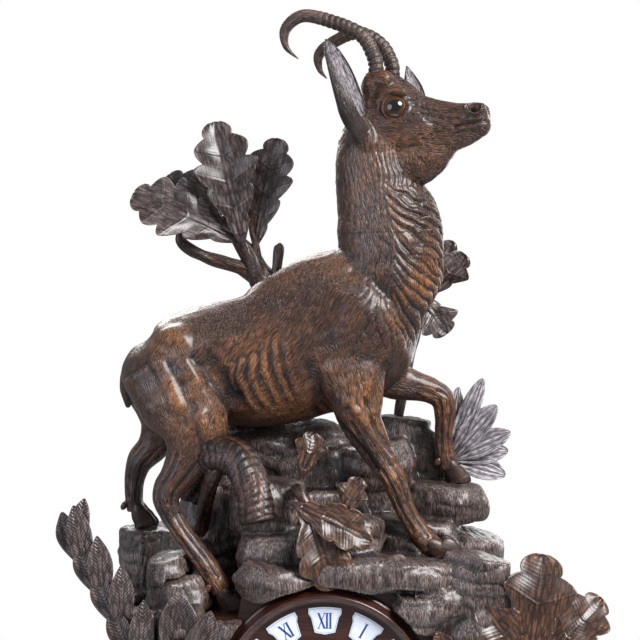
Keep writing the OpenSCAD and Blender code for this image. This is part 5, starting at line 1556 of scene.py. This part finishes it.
@dataclass(frozen=True)
class Leaf:
    """One carved leaf between its stalk and its tip, with the side it shows."""

    base: Numbers
    tip: Numbers
    width: float
    faces: Numbers
    bow: float = 5.0
    lobes: int = 4
    kind: LeafKind = LeafKind.OAK
    cup: float = 0.22
    curl: float = 0.0
    thick: float = 2.0
    lobe_growth: float = 1.15

    def outline(self, t: Points) -> Points:
        """Half width at shares of the length.

        Args:
            t: Shares from stalk to tip.

        Returns:
            Half widths in millimetres.
        """
        if self.kind is LeafKind.FAN:
            shape = np.maximum(np.sin(math.pi * t ** 1.25), 0) ** 0.6 + 0.04
        elif self.kind is LeafKind.PINNATE:
            shape = np.maximum(np.sin(math.pi * t ** 0.9), 0) ** 0.8 + 0.04
        else:
            shoulder = np.maximum(t - 0.52, 0) / 0.48
            envelope = np.minimum(1, t / 0.52) ** 0.85 * (1 - 0.52 * shoulder ** 1.2) * np.sqrt(1 - t ** 10)
            lobe = np.abs(np.cos(math.pi * (self.lobes - 0.5) * (1 - t) ** self.lobe_growth)) ** 0.7
            shape = envelope * (0.66 + 0.34 * lobe) + 0.035
        return self.width / 2 * shape

    def relief(self, t: Points, s: Points, w: Points, length: float) -> Points:
        """Height of ribs and veins above the blade.

        Args:
            t: Shares along the leaf.
            s: Shares across it, -1 to 1.
            w: Half widths there.
            length: The leaf's length.

        Returns:
            Heights in millimetres.
        """
        off = np.abs(s) * w
        stem = 1.1 * mound(off, 1.1) * (1.05 - t) - 0.5 * mound(off - 2.0, 0.9) * (1 - t)
        inside = ease((1 - np.abs(s)) / 0.2)
        if self.kind is LeafKind.FAN:
            ribs = 0.9 * (np.abs(np.cos(math.pi * s * 2.5)) ** 0.8 - 0.6)
            return 0.5 * stem + (ribs + 0.15 * np.sin(s * 38)) * ease(t / 0.1) * inside
        if self.kind is LeafKind.PINNATE:
            return stem + 0.7 * (ridges((t * length - 0.9 * off) / 2.8) - 0.6) * inside
        phase = ((1 - t) ** self.lobe_growth * (self.lobes - 0.5)) % 1.0
        gap = np.minimum(phase, 1 - phase) * length / (self.lobes - 0.5)
        veins = 0.45 * mound(gap, 0.6) * inside
        pillow = 1.3 * np.sin(math.pi * np.minimum(np.abs(s), 1)) ** 2 * np.cos(math.pi * phase) ** 2
        return stem + veins + pillow + 0.05 * np.sin(gap * 2.4) * inside

    def form(self) -> Form:
        """Builds the closed leaf."""
        start = np.asarray(self.base, float)
        way = np.asarray(self.tip, float) - start
        length = float(np.linalg.norm(way))
        along = way / length
        front = np.asarray(self.faces, float)
        front = unit(front - (front @ along) * along)
        side = np.cross(along, front)
        rows, columns = (96, 31) if self.kind is LeafKind.OAK else (100, 23)
        t, s = np.meshgrid(np.linspace(0, 1, rows), np.linspace(-1, 1, columns), indexing="ij")
        w = self.outline(t)
        sweep = {LeafKind.OAK: 0.55, LeafKind.PINNATE: 0.3, LeafKind.FAN: 0.0}[self.kind]
        run = t * length + sweep * np.abs(s) * w * (1 - 0.75 * t ** 3)
        lift = self.bow * np.sin(math.pi * t) + self.curl * t ** 3 + self.cup * 2 * (w * s) ** 2 / self.width
        lift += 2.2 * np.sin(5.4 * t + 2 * s + self.width) * np.abs(s) ** 1.5 * w / self.width * 2
        rim = ease((1 - np.abs(s)) / 0.12)
        flat = start + run[..., None] * along + (s * w)[..., None] * side
        upper = flat + (lift + self.relief(t, s, w, length) * rim)[..., None] * front
        lower = flat + (lift - self.thick * (0.35 + 0.65 * rim))[..., None] * front
        grain = np.stack([np.abs(s) * w, t * length, 0 * t], axis=-1).reshape(-1, 3)
        return Form(np.concatenate([upper.reshape(-1, 3), lower.reshape(-1, 3)]), blade_faces(rows, columns),
                    {"grain": np.concatenate([grain, grain]) * MM})


def blade_faces(rows: int, columns: int) -> list[Sequence[int]]:
    """Makes the faces of a blade with an upper side, a lower side and a rim between them.

    Args:
        rows: Corners along each side.
        columns: Corners across it.

    Returns:
        The faces.
    """
    under = rows * columns
    faces: list[Sequence[int]] = []
    for a in (i * columns + k for i in range(rows - 1) for k in range(columns - 1)):
        faces.append((a, a + 1, a + columns + 1, a + columns))
        faces.append((under + a, under + a + columns, under + a + columns + 1, under + a + 1))
    edge = [i * columns for i in range(rows)] + [(rows - 1) * columns + k for k in range(1, columns)]
    edge += [i * columns + columns - 1 for i in range(rows - 2, -1, -1)] + list(range(columns - 2, 0, -1))
    return faces + [(a, b, under + b, under + a) for a, b in zip(edge, (*edge[1:], edge[0]))]


def bark(run: Points, angle: Points) -> Points:
    """Radius factor of ridged oak bark.

    Args:
        run: Distance along the branch.
        angle: Angle round it.

    Returns:
        Factors about 1.
    """
    twist = 3 * angle + run / 14 + 0.8 * np.sin(run / 9)
    ridge = np.abs(np.sin(twist + 0.6 * np.sin(5 * angle + run / 5))) ** 0.6
    return 1 + 0.16 * (ridge - 0.6) + 0.05 * np.sin(run / 4.3 + 2 * angle)


def notched(run: Points, angle: Points) -> Points:
    """Radius factor of a branch cut with cross notches on its ridges.

    Args:
        run: Distance along the branch.
        angle: Angle round it.

    Returns:
        Factors about 1.
    """
    ridge = np.abs(np.cos(2.5 * angle + run / 22)) ** 0.5
    notch = np.abs(np.sin(math.pi * run / 5.2 + 0.9 * np.sin(2 * angle))) ** 0.5
    return 1 + 0.2 * (ridge - 0.6) + 0.1 * ridge * (notch - 0.55) + 0.03 * np.sin(7 * angle + run / 3)


def stem_form(path: Stations, swell: Swell, sides: int = 40, row_gap: float = 0.9) -> Form:
    """Builds a branch along x, y, height and radius, with its bark as the swell."""
    stretch = np.linalg.norm(np.diff(np.asarray(path, float)[:, :3], axis=0), axis=1).mean()
    return Loft([(*p, p[3]) for p in path], steps=max(4, int(stretch / row_gap)), sides=sides).form(swell)


@dataclass
class Carving:
    """A group of leaves and stems that stands for one node."""

    name: str
    finish: Material
    slot: str
    node: str
    leaves: Sequence[Leaf] = ()
    stems: Sequence[Stations] = ()
    swell: Swell = bark

    def build(self) -> None:
        """Builds the group as one piece and seats it."""
        parts = [leaf.form() for leaf in self.leaves] + [stem_form(path, self.swell) for path in self.stems]
        piece = merged(parts).placed(up).carved(4).piece(self.name, self.finish)
        seat(piece, "case", (self.node,))


def leaflet(base: Numbers, tip: Numbers, width: float, faces: Numbers,
            curl: float = 0.0, bow: float = 3.0, cup: float = 0.2) -> Leaf:
    """One thin leaflet with slanting veins, from its stalk to its tip."""
    return Leaf(base, tip, width, faces, bow, 0, LeafKind.PINNATE, cup, curl, 1.6)


@dataclass
class Foliage:
    """All carved leaves and branches, placed as in the block."""

    leaf: Material
    warm_leaf: Material
    painted_sheen_leaf: Material
    branch: Material
    fan_root: Numbers = (104, 34, 68)
    fan_tips: Stations = (
        (131, 28, 136, 16), (142, 24, 114, 20), (153, 22, 92, 20), (152, 30, 76, 18),
        (149, 26, 56, 19), (112, 40, 128, 14), (136, 32, 102, 16))
    spray_stem: Stations = (
        (-112, -88, -120, 4.4), (-128, -86, -80, 4), (-146, -82, -44, 3.4), (-166, -76, -14, 2.8),
        (-184, -70, 14, 2))

    def build(self) -> None:
        """Builds and seats every group."""
        for group in (self.oak_bough(), self.oak_bough_leaves(), self.chest_leaves(), self.ribbed_fan(),
                      self.gnarled_bough(), self.hanging_leaves(), self.pinnate_spray(),
                      self.lower_oak_leaves()):
            group.build()

    def oak_bough(self) -> Carving:
        """Returns the oak branch behind the animal, with its fork, stub and twigs."""
        return Carving("oak_bough", self.branch, "branch_wood", "oak_branch", stems=(
            ((-14, 58, 70, 10.5), (-26, 62, 130, 11), (-39, 64, 186, 12.5), (-50, 64, 213, 11.5),
             (-62, 62, 236, 8.5), (-72, 59, 250, 6), (-82, 56, 264, 4.2), (-86, 52, 272, 1)),
            ((-52, 64, 212, 6), (-66, 63, 226, 6.4), (-82, 61, 232, 5.8), (-99, 60, 237, 5.2),
             (-114, 58, 244, 4.8), (-122, 57, 252, 4.4), (-120, 56, 262, 3.2), (-117, 56, 267, 0.8)),
            ((-44, 64, 196, 6.4), (-42, 63, 214, 5), (-40, 62, 232, 4.4), (-38.5, 62, 246, 4),
             (-38, 62, 250, 1)),
            ((-60, 60, 226, 3.4), (-70, 54, 248, 3), (-80, 50, 268, 2.4), (-84, 47, 288, 1.6),
             (-88, 44, 318, 0.6)),
            ((-66, 60, 240, 3), (-82, 54, 260, 2.8), (-100, 50, 270, 2), (-124, 47, 279, 0.8)),
            ((-54, 60, 226, 3.6), (-58, 58, 246, 3), (-62, 58, 266, 2.2), (-54, 56, 290, 0.8))))

    def oak_bough_leaves(self) -> Carving:
        """Returns the oak branch's leaves."""
        return Carving("oak_bough_leaves", self.leaf, "leaf_wood", "oak_leaves", (
            Leaf((-70, 54, 250), (-161, 44, 290), 56, (0.1, -1, 0.3), 6, 5, curl=-4),
            Leaf((-68, 50, 246), (-92, 40, 350), 54, (0.1, -1, 0.1), 7, 5, curl=-4),
            Leaf((-60, 60, 244), (-38, 58, 338), 48, (-0.3, -1, 0), 5, 5, curl=3),
            Leaf((-84, 66, 262), (-136, 72, 308), 44, (0.2, -1, 0.2), 4, 4)))

    def chest_leaves(self) -> Carving:
        """Returns the spray that stands behind the chest."""
        return Carving("chest_leaves", self.leaf, "leaf_wood", "chest_spray", (
            Leaf((86, 36, 204), (117, 30, 238), 32, (-0.2, -1, 0.1), 4, 3),
            Leaf((77, 38, 206), (101, 32, 172), 36, (0.2, -1, 0), 4, 3),
            Leaf((80, 42, 206), (108, 42, 250), 26, (-0.2, -1, 0.1), 3, 3)),
            (((58, 46, 70, 4.4), (64, 52, 110, 4.2), (72, 53, 150, 3.8), (80, 46, 182, 3.4),
              (84, 38, 206, 3)),))

    def ribbed_fan(self) -> Carving:
        """Returns the fan of ribbed blades on the right."""
        blades = [Leaf(self.fan_root, (x, y, z), width, (-0.1, -1, 0.4), 5, 0, LeafKind.FAN, 0.15, 1.5, 2.2)
                  for x, y, z, width in self.fan_tips]
        stem = ((101, 32, 38, 5), (103, 33, 52, 4.6), (105, 34, 70, 3.6))
        # The blades' finish paints a pale silvery sheen into their colour.
        return Carving("ribbed_fan", self.painted_sheen_leaf, "leaf_wood", "leaf_fan", blades, (stem,))

    def gnarled_bough(self) -> Carving:
        """Returns the broken branch under the belly, with its stump."""
        return Carving("gnarled_bough", self.branch, "branch_wood", "gnarled_branch", (), (
            ((-104, -2, 46, 12), (-97, -18, 68, 13.5), (-84, -34, 80, 14), (-67, -46, 78, 13.5),
             (-55, -57, 60, 12.5), (-49, -64, 34, 12.5)),
            ((-78, -40, 80, 6.2), (-86, -37, 64, 6), (-91, -26, 48, 5.8), (-95, -12, 32, 5.6),
             (-98, 0, 14, 5.2))),
            notched)

    def hanging_leaves(self) -> Carving:
        """Returns the oak leaves that hang over the dial."""
        return Carving("hanging_oak_leaves", self.warm_leaf, "leaf_wood", "hanging_leaves", (
            Leaf((-16, -70, 58), (5, -84, -12), 42, (0.1, -1, 0.1), 6, 4, curl=3),
            Leaf((-26, -74, 50), (34, -81, 22), 34, (0, -1, 0.4), 5, 4),
            Leaf((-18, -66, 66), (-8, -60, 100), 26, (0.2, -1, 0.2), 4, 3),
            Leaf((10, -74, 34), (26, -74, 68), 24, (-0.2, -1, 0.1), 4, 3)),
            (((-20, -50, 56, 4), (-20, -68, 58, 4), (-12, -73, 48, 3.4), (4, -76, 38, 3)),))

    def pinnate_spray(self) -> Carving:
        """Returns the spray at the lower left, with two leaflets at each of its knots."""
        knots = smooth_curve(self.spray_stem, 10)
        leaves = []
        for i in range(6):
            x, y, z = knots[min(7 * i, 39)][:3]
            leaves.append(leaflet((x, y, z), (x - 24 + i, y + 4, z + 40), 18, (-0.3, -1, 0.1), -1))
            leaves.append(leaflet((x, y, z), (x + 12 - 4 * i, y - 3, z + 46), 18, (0.2, -1, 0.1), -1))
        leaves += [
            leaflet((-184, -70, 14), (-178, -68, 52), 16, (0, -1, 0.1)),
            leaflet((-104, -86, -66), (-106, -90, -12), 28, (0.1, -1, 0.1)),
            leaflet((-98, -88, -72), (-82, -90, -26), 24, (0.3, -1, 0.1)),
            leaflet((-126, -88, -86), (-98, -94, -46), 24, (0.2, -1, 0.1)),
            leaflet((-120, -88, -104), (-166, -90, -118), 21, (0.1, -1, 0.2))]
        return Carving("pinnate_spray", self.leaf, "leaf_wood", "left_spray", leaves, (self.spray_stem,))

    def lower_oak_leaves(self) -> Carving:
        """Returns the oak leaves at the lower right, with three leaflets beside the dial."""
        leaves = [
            Leaf((148, -84, -66), (160, -74, 12), 52, (-0.1, -1, 0.1), 6, 3, curl=-3),
            Leaf((150, -84, -72), (112, -84, -22), 36, (0.2, -1, 0.1), 5, 3),
            Leaf((156, -82, -66), (206, -66, -22), 40, (-0.3, -1, 0.1), 6, 4, curl=-3),
            Leaf((130, -88, -118), (186, -84, -140), 40, (0, -1, 0.3), 6, 4)]
        leaves += [leaflet((90 + 14 * i, -86, -66 - 4 * i), (80 + 22 * i, -93, -40 - 4 * i), 18,
                           (0, -1, 0.2), bow=1.5, cup=0.15) for i in range(3)]
        stem = ((112, -86, -150, 5), (132, -88, -116, 4.6), (148, -88, -84, 4), (154, -84, -54, 3.2))
        return Carving("lower_oak_leaves", self.warm_leaf, "leaf_wood", "right_spray", leaves, (stem,))


# Dial


@dataclass
class Bezel:
    """Turned and milled bezel with a ribbed inner ring and knife nicks."""

    finish: Material
    back_y: float
    sides: int = 360
    profile: Line = (
        (0.2, 0.0), (0.0, 0.4), (0.0, 3.4), (0.5, 4.4), (1.4, 4.9), (1.9, 5.4), (1.9, 6.4), (1.5, 7.2),
        (2.0, 8.4), (2.8, 10.0), (3.1, 11.6), (3.5, 12.2), (3.6, 13.0), (3.9, 13.9), (4.6, 14.7),
        (5.5, 15.0), (6.4, 14.8), (7.0, 14.2), (7.2, 13.4), (7.6, 12.9), (8.2, 12.8), (8.7, 12.3),
        (8.8, 11.4), (9.3, 11.0), (10.0, 10.8), (10.0, 6.4))
    back_edge: Line = ((7.0, 6.4), (6.8, 0.0))
    ribs: int = 120
    nicks: int = 72
    rib_depth: float = 0.35
    nick_depth: float = 0.45

    def build(self) -> Object:
        """Builds the ring."""
        rows = smooth_curve([(a, b, 0.0) for a, b in self.profile], 3)
        rows = np.vstack([rows[:, :2], self.back_edge])
        turns = ring_angles(self.sides)
        inset, rise = rows[:, :1], rows[:, 1:]
        milled = mound(inset - 8.2, 0.6) * (rise > 11.5)
        carved = mound(inset - 2.4, 0.9) * (rise > 5.5) * (rise < 11.8)
        ribs, nicks = np.abs(np.sin(self.ribs / 2 * turns)), np.abs(np.sin(self.nicks / 2 * turns)) ** 0.5
        wobble = 0.08 * np.sin(5 * turns + 1.3) + 0.06 * np.sin(11 * turns)
        r = BEZEL_R - inset - self.rib_depth * milled * ribs - self.nick_depth * carved * nicks + wobble
        y = self.back_y - rise + self.rib_depth * milled * ribs
        corners = np.stack([r * np.sin(turns), y, r * np.cos(turns) + DIAL_Z], axis=-1).reshape(-1, 3)
        grain = np.stack(np.broadcast_arrays(turns[None, :] * BEZEL_R, rise, inset), axis=-1)
        whole = Form(corners, ring_faces(len(rows), self.sides, closed=True),
                     {"grain": grain.reshape(-1, 3) * MM})
        return whole.carved(3).piece("milled_bezel", self.finish)


@dataclass
class Numerals:
    """Roman numerals and thin borders in blue enamel, fired onto the plaques."""

    ink: Material
    border: Material
    front_y: float
    ring_r: float = 56.0
    tall: float = 11.0
    plaque_h: float = 20.0
    plaque_w: float = 24.0
    thick: float = 1.5
    thin: float = 0.6
    serif_w: float = 0.45
    sunk: float = 0.05
    words: Sequence[str] = ("XII", "I", "II", "III", "IIII", "V", "VI", "VII", "VIII", "IX", "X", "XI")
    widths: tuple[tuple[str, float], ...] = (("I", 2.5), ("V", 5.6), ("X", 5.4))

    def bar(self, a: Numbers, b: Numbers, wide: float, rise: float = 0.12) -> Form:
        """One raised stroke between two points of a plaque.

        Args:
            a: Start, right and up on the plaque.
            b: End.
            wide: Its width.
            rise: How far it stands proud.

        Returns:
            The closed form, with y towards the viewer as depth.
        """
        start, end = np.asarray(a, float), np.asarray(b, float)
        way = unit(end - start)
        side = np.array([-way[1], way[0]]) * wide / 2
        flat = [start - side, end - side, end + side, start + side]
        draw_in = min(0.35 * rise / max(wide, 0.1), 0.3)
        inner = [p + (np.mean(flat, axis=0) - p) * draw_in for p in flat]
        corners = [(p[0], self.sunk, p[1]) for p in flat] + [(p[0], -rise, p[1]) for p in inner]
        faces = [(3, 2, 1, 0), (4, 5, 6, 7)] + [(k, (k + 1) % 4, (k + 1) % 4 + 4, k + 4) for k in range(4)]
        return Form(np.array(corners), faces)

    def serif(self, x: float, z: float, half: float) -> Form:
        """Returns the short bar across the end of a stroke."""
        return self.bar((x - half, z), (x + half, z), self.serif_w)

    def letter(self, kind: str, x: float) -> list[Form]:
        """Strokes and serifs of one letter.

        Args:
            kind: I, V or X.
            x: Its middle.

        Returns:
            The strokes.
        """
        h = self.tall / 2
        if kind == "I":
            return [self.bar((x, -h), (x, h), self.thick), self.serif(x, h, 1.3), self.serif(x, -h, 1.3)]
        spread = 2.2
        foot = 0.0 if kind == "V" else spread
        ends = [(s * spread, h) for s in SIDES] + ([(s * spread, -h) for s in SIDES] if kind == "X" else [])
        return [self.bar((x - spread, h), (x + foot, -h), self.thick),
                self.bar((x + spread, h), (x - foot, -h), self.thin),
                *[self.serif(x + off, z, 1.0) for off, z in ends]]

    def placed(self, stroke: Form, hour: int) -> Form:
        """Moves a stroke from a plaque's own frame onto the dial.

        Args:
            stroke: The stroke.
            hour: Which plaque.

        Returns:
            The moved stroke.
        """
        a = math.radians(30 * hour)
        x, y, z = stroke.corners.T
        r = z + self.ring_r
        corners = [x * math.cos(a) + r * math.sin(a), y + self.front_y,
                   -x * math.sin(a) + r * math.cos(a) + DIAL_Z]
        return Form(np.stack(corners, axis=1), stroke.faces)

    def word(self, text: str) -> list[Form]:
        """Strokes of a numeral, drawn together where it would be too wide for its plaque.

        Args:
            text: The numeral.

        Returns:
            The strokes, in the plaque's own frame.
        """
        sizes = dict(self.widths)
        total = sum(sizes[c] for c in text)
        x, strokes = -total / 2, []
        for c in text:
            strokes += self.letter(c, x + sizes[c] / 2)
            x += sizes[c]
        squeeze = min(1.0, self.plaque_w * 0.74 / total)
        return [stroke.placed(lambda p: p * (squeeze, 1.0, 1.0)) for stroke in strokes]

    def rim(self) -> list[Form]:
        """Strokes of the border inside a plaque's edge, which is narrow at the foot."""
        r, half, foot = self.plaque_h / 2, self.plaque_w / 2, self.plaque_w * 0.31
        right = [(foot - 0.6, 2.2 - r), (half - 2.8, r - 8.2), (half - 0.9, r - 5.2), (half - 0.9, r - 1.9)]
        left = [(-x, z) for x, z in reversed(right)]
        line = [left[-1], (0, 0.9 - r), *right, (0, r - 0.9), *left[:-1]]
        return [self.bar(a, b, 0.5, 0.06) for a, b in zip(line, (*line[1:], line[0]))]

    def build(self) -> list[Object]:
        """Builds the numerals and the borders."""
        hours = range(len(self.words))
        inks = [self.placed(stroke, hour) for hour in hours for stroke in self.word(self.words[hour])]
        rims = [self.placed(stroke, hour) for hour in hours for stroke in self.rim()]
        return [merged(inks).piece("blue_numerals", self.ink, False),
                merged(rims).piece("plaque_borders", self.border, False)]

# Camera, light and floor


@dataclass(frozen=True)
class Studio:
    """Pale floor, plain soft light and the camera that stands where the photograph was taken."""

    camera_at: tuple[float, float, float] = (-0.0036, -0.9, 0.42)
    aim: tuple[float, float, float] = (0.0, 0.0, 0.42)
    seen_width: float = 0.512
    sensor_width: float = 36.0
    floor_colour: str = "#f4f4f4"
    floor_shade: str = "#eeeeee"
    floor_r: float = 0.46
    floor_sides: int = 96
    fade_from: float = 0.3

    def camera(self) -> None:
        """Places the camera square to the dial."""
        data = bpy.data.cameras.new("camera")
        data.sensor_width = self.sensor_width
        data.lens = self.sensor_width * -self.camera_at[1] / self.seen_width
        data.clip_start = 0.05
        made = shown(bpy.data.objects.new("camera", data))
        made.location = self.camera_at
        made.rotation_euler = (math.radians(90), 0.0, 0.0)
        bpy.context.scene.camera = made

    def lamp(self, name: str, at: Numbers, size: float, power: float,
             colour: str = "#ffffff") -> None:
        """Hangs one soft lamp that shines on the middle of the clock.

        Args:
            name: Its name.
            at: Where it hangs, in metres.
            size: Its width in metres.
            power: Its power in watts.
            colour: Its colour.
        """
        data = bpy.data.lights.new(name, "AREA")
        data.shape = "DISK"
        data.size = size
        data.energy = power
        data.color = linear(colour)[:3]
        made = shown(bpy.data.objects.new(name, data))
        made.location = at
        made.rotation_euler = (Vector(self.aim) - Vector(at)).to_track_quat("-Z", "Y").to_euler()

    def floor(self) -> None:
        """Lays the shelf that the clock stands on, which fades into the white round it."""
        made = Surface("shelf_paper")
        grain = add_node(made.tree, "TexNoise", None, {"Scale": 180.0, "Detail": 2.0}).outputs["Fac"]
        off = made.vector("LENGTH", {0: made.place()}, "Value")
        material = made.finished({
            "Base Color": made.tint(grain, self.floor_shade, self.floor_colour), "Roughness": 0.7,
            "Alpha": made.spread(off, (self.fade_from, self.floor_r), (1.0, 0.0), smooth=True)})
        turns = ring_angles(self.floor_sides)
        ring = [(self.floor_r * math.cos(t), self.floor_r * math.sin(t), 0.0) for t in turns]
        mesh = bpy.data.meshes.new("shelf_top")
        mesh.from_pydata(ring, [], [tuple(range(self.floor_sides))])
        mesh.materials.append(material)
        shown(bpy.data.objects.new("shelf_top", mesh))

    def world(self) -> None:
        """Makes the room: white where the camera sees it, softer as a light."""
        made = bpy.data.worlds.new("room")
        bpy.context.scene.world = made
        made.use_nodes = True
        tree = made.node_tree
        tree.nodes.clear()
        seen, room = (add_node(tree, "Background", None, {"Color": linear(colour), "Strength": strength})
                      for colour, strength in (("#ffffff", 1.0), ("#eef2fa", 0.3)))
        ray = add_node(tree, "LightPath").outputs["Is Camera Ray"]
        blend = add_node(tree, "MixShader", None, {0: ray, 1: room.outputs[0], 2: seen.outputs[0]})
        add_node(tree, "OutputWorld", None, {"Surface": blend.outputs[0]})

    def build(self) -> None:
        """Sets up the whole studio."""
        bpy.context.scene.view_settings.view_transform = "Standard"
        self.camera()
        self.world()
        self.floor()
        self.lamp("key", (0.95, -0.95, 1.4), 0.8, 44)
        self.lamp("fill", (-1.3, -1.0, 0.7), 1.3, 10, "#e8efff")
        self.lamp("rim", (-0.5, 1.2, 1.3), 0.9, 16)
        self.lamp("back", (0.9, 1.3, 0.6), 1.2, 10)


# Finishes of the plain parts


def dress(finishes: dict[str, Material]) -> None:
    """Gives every CAD node the finish of its material slot.

    Args:
        finishes: A material for each slot of the record.
    """
    for part in frame["record"]["subparts"]:
        mesh = frame["nodes"][part["node"]].data
        for index in range(len(mesh.materials)):
            mesh.materials[index] = finishes[part["material_slot"]]


def clock_finishes() -> dict[str, Material]:
    """Makes one material for each slot of the record, and those of single pieces."""
    # The first colour of each carved finish fills its cuts and hollows: stain, darkened further as painted
    # shade.
    fur = CarvedWood("chamois_wood", "#0e0604", "#593827", "#b97740", Follows.TWO_WAYS, 1.8, 9.0, 0.75,
                     wear=0.5, varnish=0.45, roughness=0.4, lines=0.6)
    # The leaves' pale cool grey-brown is partly the stained wood and partly painted sheen.
    leaf = CarvedWood("leaf_wood", "#211713", "#64524f", "#b8a6a4", stroke_width=2.6, stroke_length=12.0,
                      stroke_depth=0.05, varnish=0.35, roughness=0.4, lines=0.35, stretch=(0, 1, 0))
    made = {
        # Walnut-stained lime, planed for the case and turned for the dial.
        "stained_wood": PlainWood("stained_lime_wood", "#20110c", "#4c2c1e"),
        "dial_wood": PlainWood("turned_dial_wood", "#200f0b", "#4c281e", 1.0, 30.0, 0.05, 0.34, 0.4),
        # The same lime, carved: rocks, animal, horns, leaves and bark, each rubbed down in its own way.
        "rock_wood": CarvedWood("rock_wood", "#150d0b", "#695650", "#c2aca3", Follows.PLACE, 1.7, 9.0, 0.35,
                                roughness=0.4, varnish=0.45, stretch=(0.0, 0.0, 1.0)),
        "chamois_wood": fur,
        "horn_wood": CarvedWood("horn_wood", "#2c1e18", "#7d6155", "#b59b8e", stroke_width=1.6, wear=0.8,
                                stroke_depth=0.15, varnish=0.12, roughness=0.5),
        "hoof_wood": CarvedWood("hoof_wood", "#1d100b", "#513526", "#8c5c3e", stroke_width=1.4,
                                stroke_depth=0.1),
        # Pale bluish grey body and worn colours: a painted sheen on the insides of the ears.
        "ear_wood": CarvedWood("ear_wood", "#2c1d16", "#8a828c", "#b4a8ae", stroke_width=1.5,
                               stroke_depth=0.4,
                               varnish=0.25),
        "lid_wood": CarvedWood("lid_wood", "#2a140d", "#623626", "#8f5238", stroke_width=0.8,
                               stroke_depth=0.1),
        "leaf_wood": leaf,
        "warm_leaf_wood": replace(leaf, name="warm_leaf_wood", hollow="#24150f", body="#64432f",
                                  worn="#ab7450",
                                  roughness=0.38),
        # Pale silvery greys: the blades' sheen under the light, painted into their colour.
        "fan_wood": CarvedWood("fan_wood", "#5a5257", "#bdb5ba", "#ece8ee", stroke_width=2.0,
                               stroke_depth=0.05,
                               varnish=0.4, stretch=(0, 1, 0)),
        "branch_wood": CarvedWood("branch_wood", "#180c08", "#62402f", "#ad7150", stroke_width=1.8,
                                  stroke_length=8.0, stroke_depth=0.3, varnish=0.35),
        # Fired enamel on copper for the plaques, with cobalt numerals and pale borders.
        "enamel": Glaze("white_enamel", "#f0f3fa", "#e4eaf6"),
        "cobalt_enamel": Glaze("cobalt_enamel", "#20408c", "#3560b0"),
        "pale_blue_enamel": Glaze("pale_blue_enamel", "#8fb0dc", "#a9c4e6"),
        # Painted glass for the eyes and carved bone for the hands.
        "glass_eye": EyeGlass(),
        "bone": Glaze("carved_bone", "#ece4cf", "#dccfb2", 0.34, 0.08, 0.15),
        # Lacquered brass, oiled steel, blued spring steel and cast iron for the movement.
        "brass": Metal("clock_brass", "#dcb96c", "#ab8746"),
        "steel": Metal("clock_steel", "#cdd0d5", "#94989e"),
        "spring_steel": Metal("blued_spring_steel", "#46557a", "#28324d", 0.24),
        "iron": Metal("cast_iron", "#4c4c4f", "#2f2f32", 0.5, 0.8, 0.08),
    }
    return {slot: finish.material() for slot, finish in made.items()}


def build_animal(finishes: dict[str, Material]) -> None:
    """Builds the chamois with its ears, hooves, horns and eyes.

    Args:
        finishes: The materials by name.
    """
    body, head = Chamois(finishes["chamois_wood"]).build()
    seat(body, "case", ("chamois",))
    seat(head)
    seat(Ears(finishes["ear_wood"]).build())
    seat(Hooves(finishes["hoof_wood"]).build())
    seat(Horns(finishes["horn_wood"]).build(), "case", ("horns",))
    near, far, lids = Eyes(finishes["glass_eye"], finishes["lid_wood"]).build()
    seat(near, "case", ("glass_eyes",))
    seat(far)
    seat(lids)


def build_rocks(finish: Material) -> None:
    """Builds the summit, with the rock behind the belly and the far foreleg, and the rocks at both sides.

    Args:
        finish: Their material.
    """
    behind = (((-52, 28, 70), (42, 24, 38)), ((-8, 32, 74), (36, 22, 30)), ((44, 8, 38), (22, 16, 13)),
              ((88, 36, 60), (16, 12, 34)))
    for rocks in (Rocks(finish, "summit_rocks", "carved_summit", 1.6, 3, behind),
                  Rocks(finish, "left_rocks", "carved_left_rocks", 1.8, 13),
                  Rocks(finish, "right_rocks", "carved_right_rocks", 1.8, 23)):
        seat(rocks.build(), "case", (rocks.node,))


def build_dial(finishes: dict[str, Material]) -> None:
    """Builds the bezel and what is fired onto the plaques.

    Args:
        finishes: The materials by name.
    """
    seat(Bezel(finishes["dial_wood"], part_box("bezel")[1].y / MM).build(), "case", ("bezel",))
    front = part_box("numeral_plaques")[0].y / MM
    for piece in Numerals(finishes["cobalt_enamel"], finishes["pale_blue_enamel"], front).build():
        seat(piece)


def main() -> None:
    """Builds the clock's surfaces and the studio."""
    logging.basicConfig(level=logging.INFO, format="%(message)s")
    Studio().build()
    finishes = clock_finishes()
    dress(finishes)
    build_animal(finishes)
    build_rocks(finishes["rock_wood"])
    Foliage(*(finishes[k] for k in ("leaf_wood", "warm_leaf_wood", "fan_wood", "branch_wood"))).build()
    build_dial(finishes)


if __name__ == "__main__":
    main()
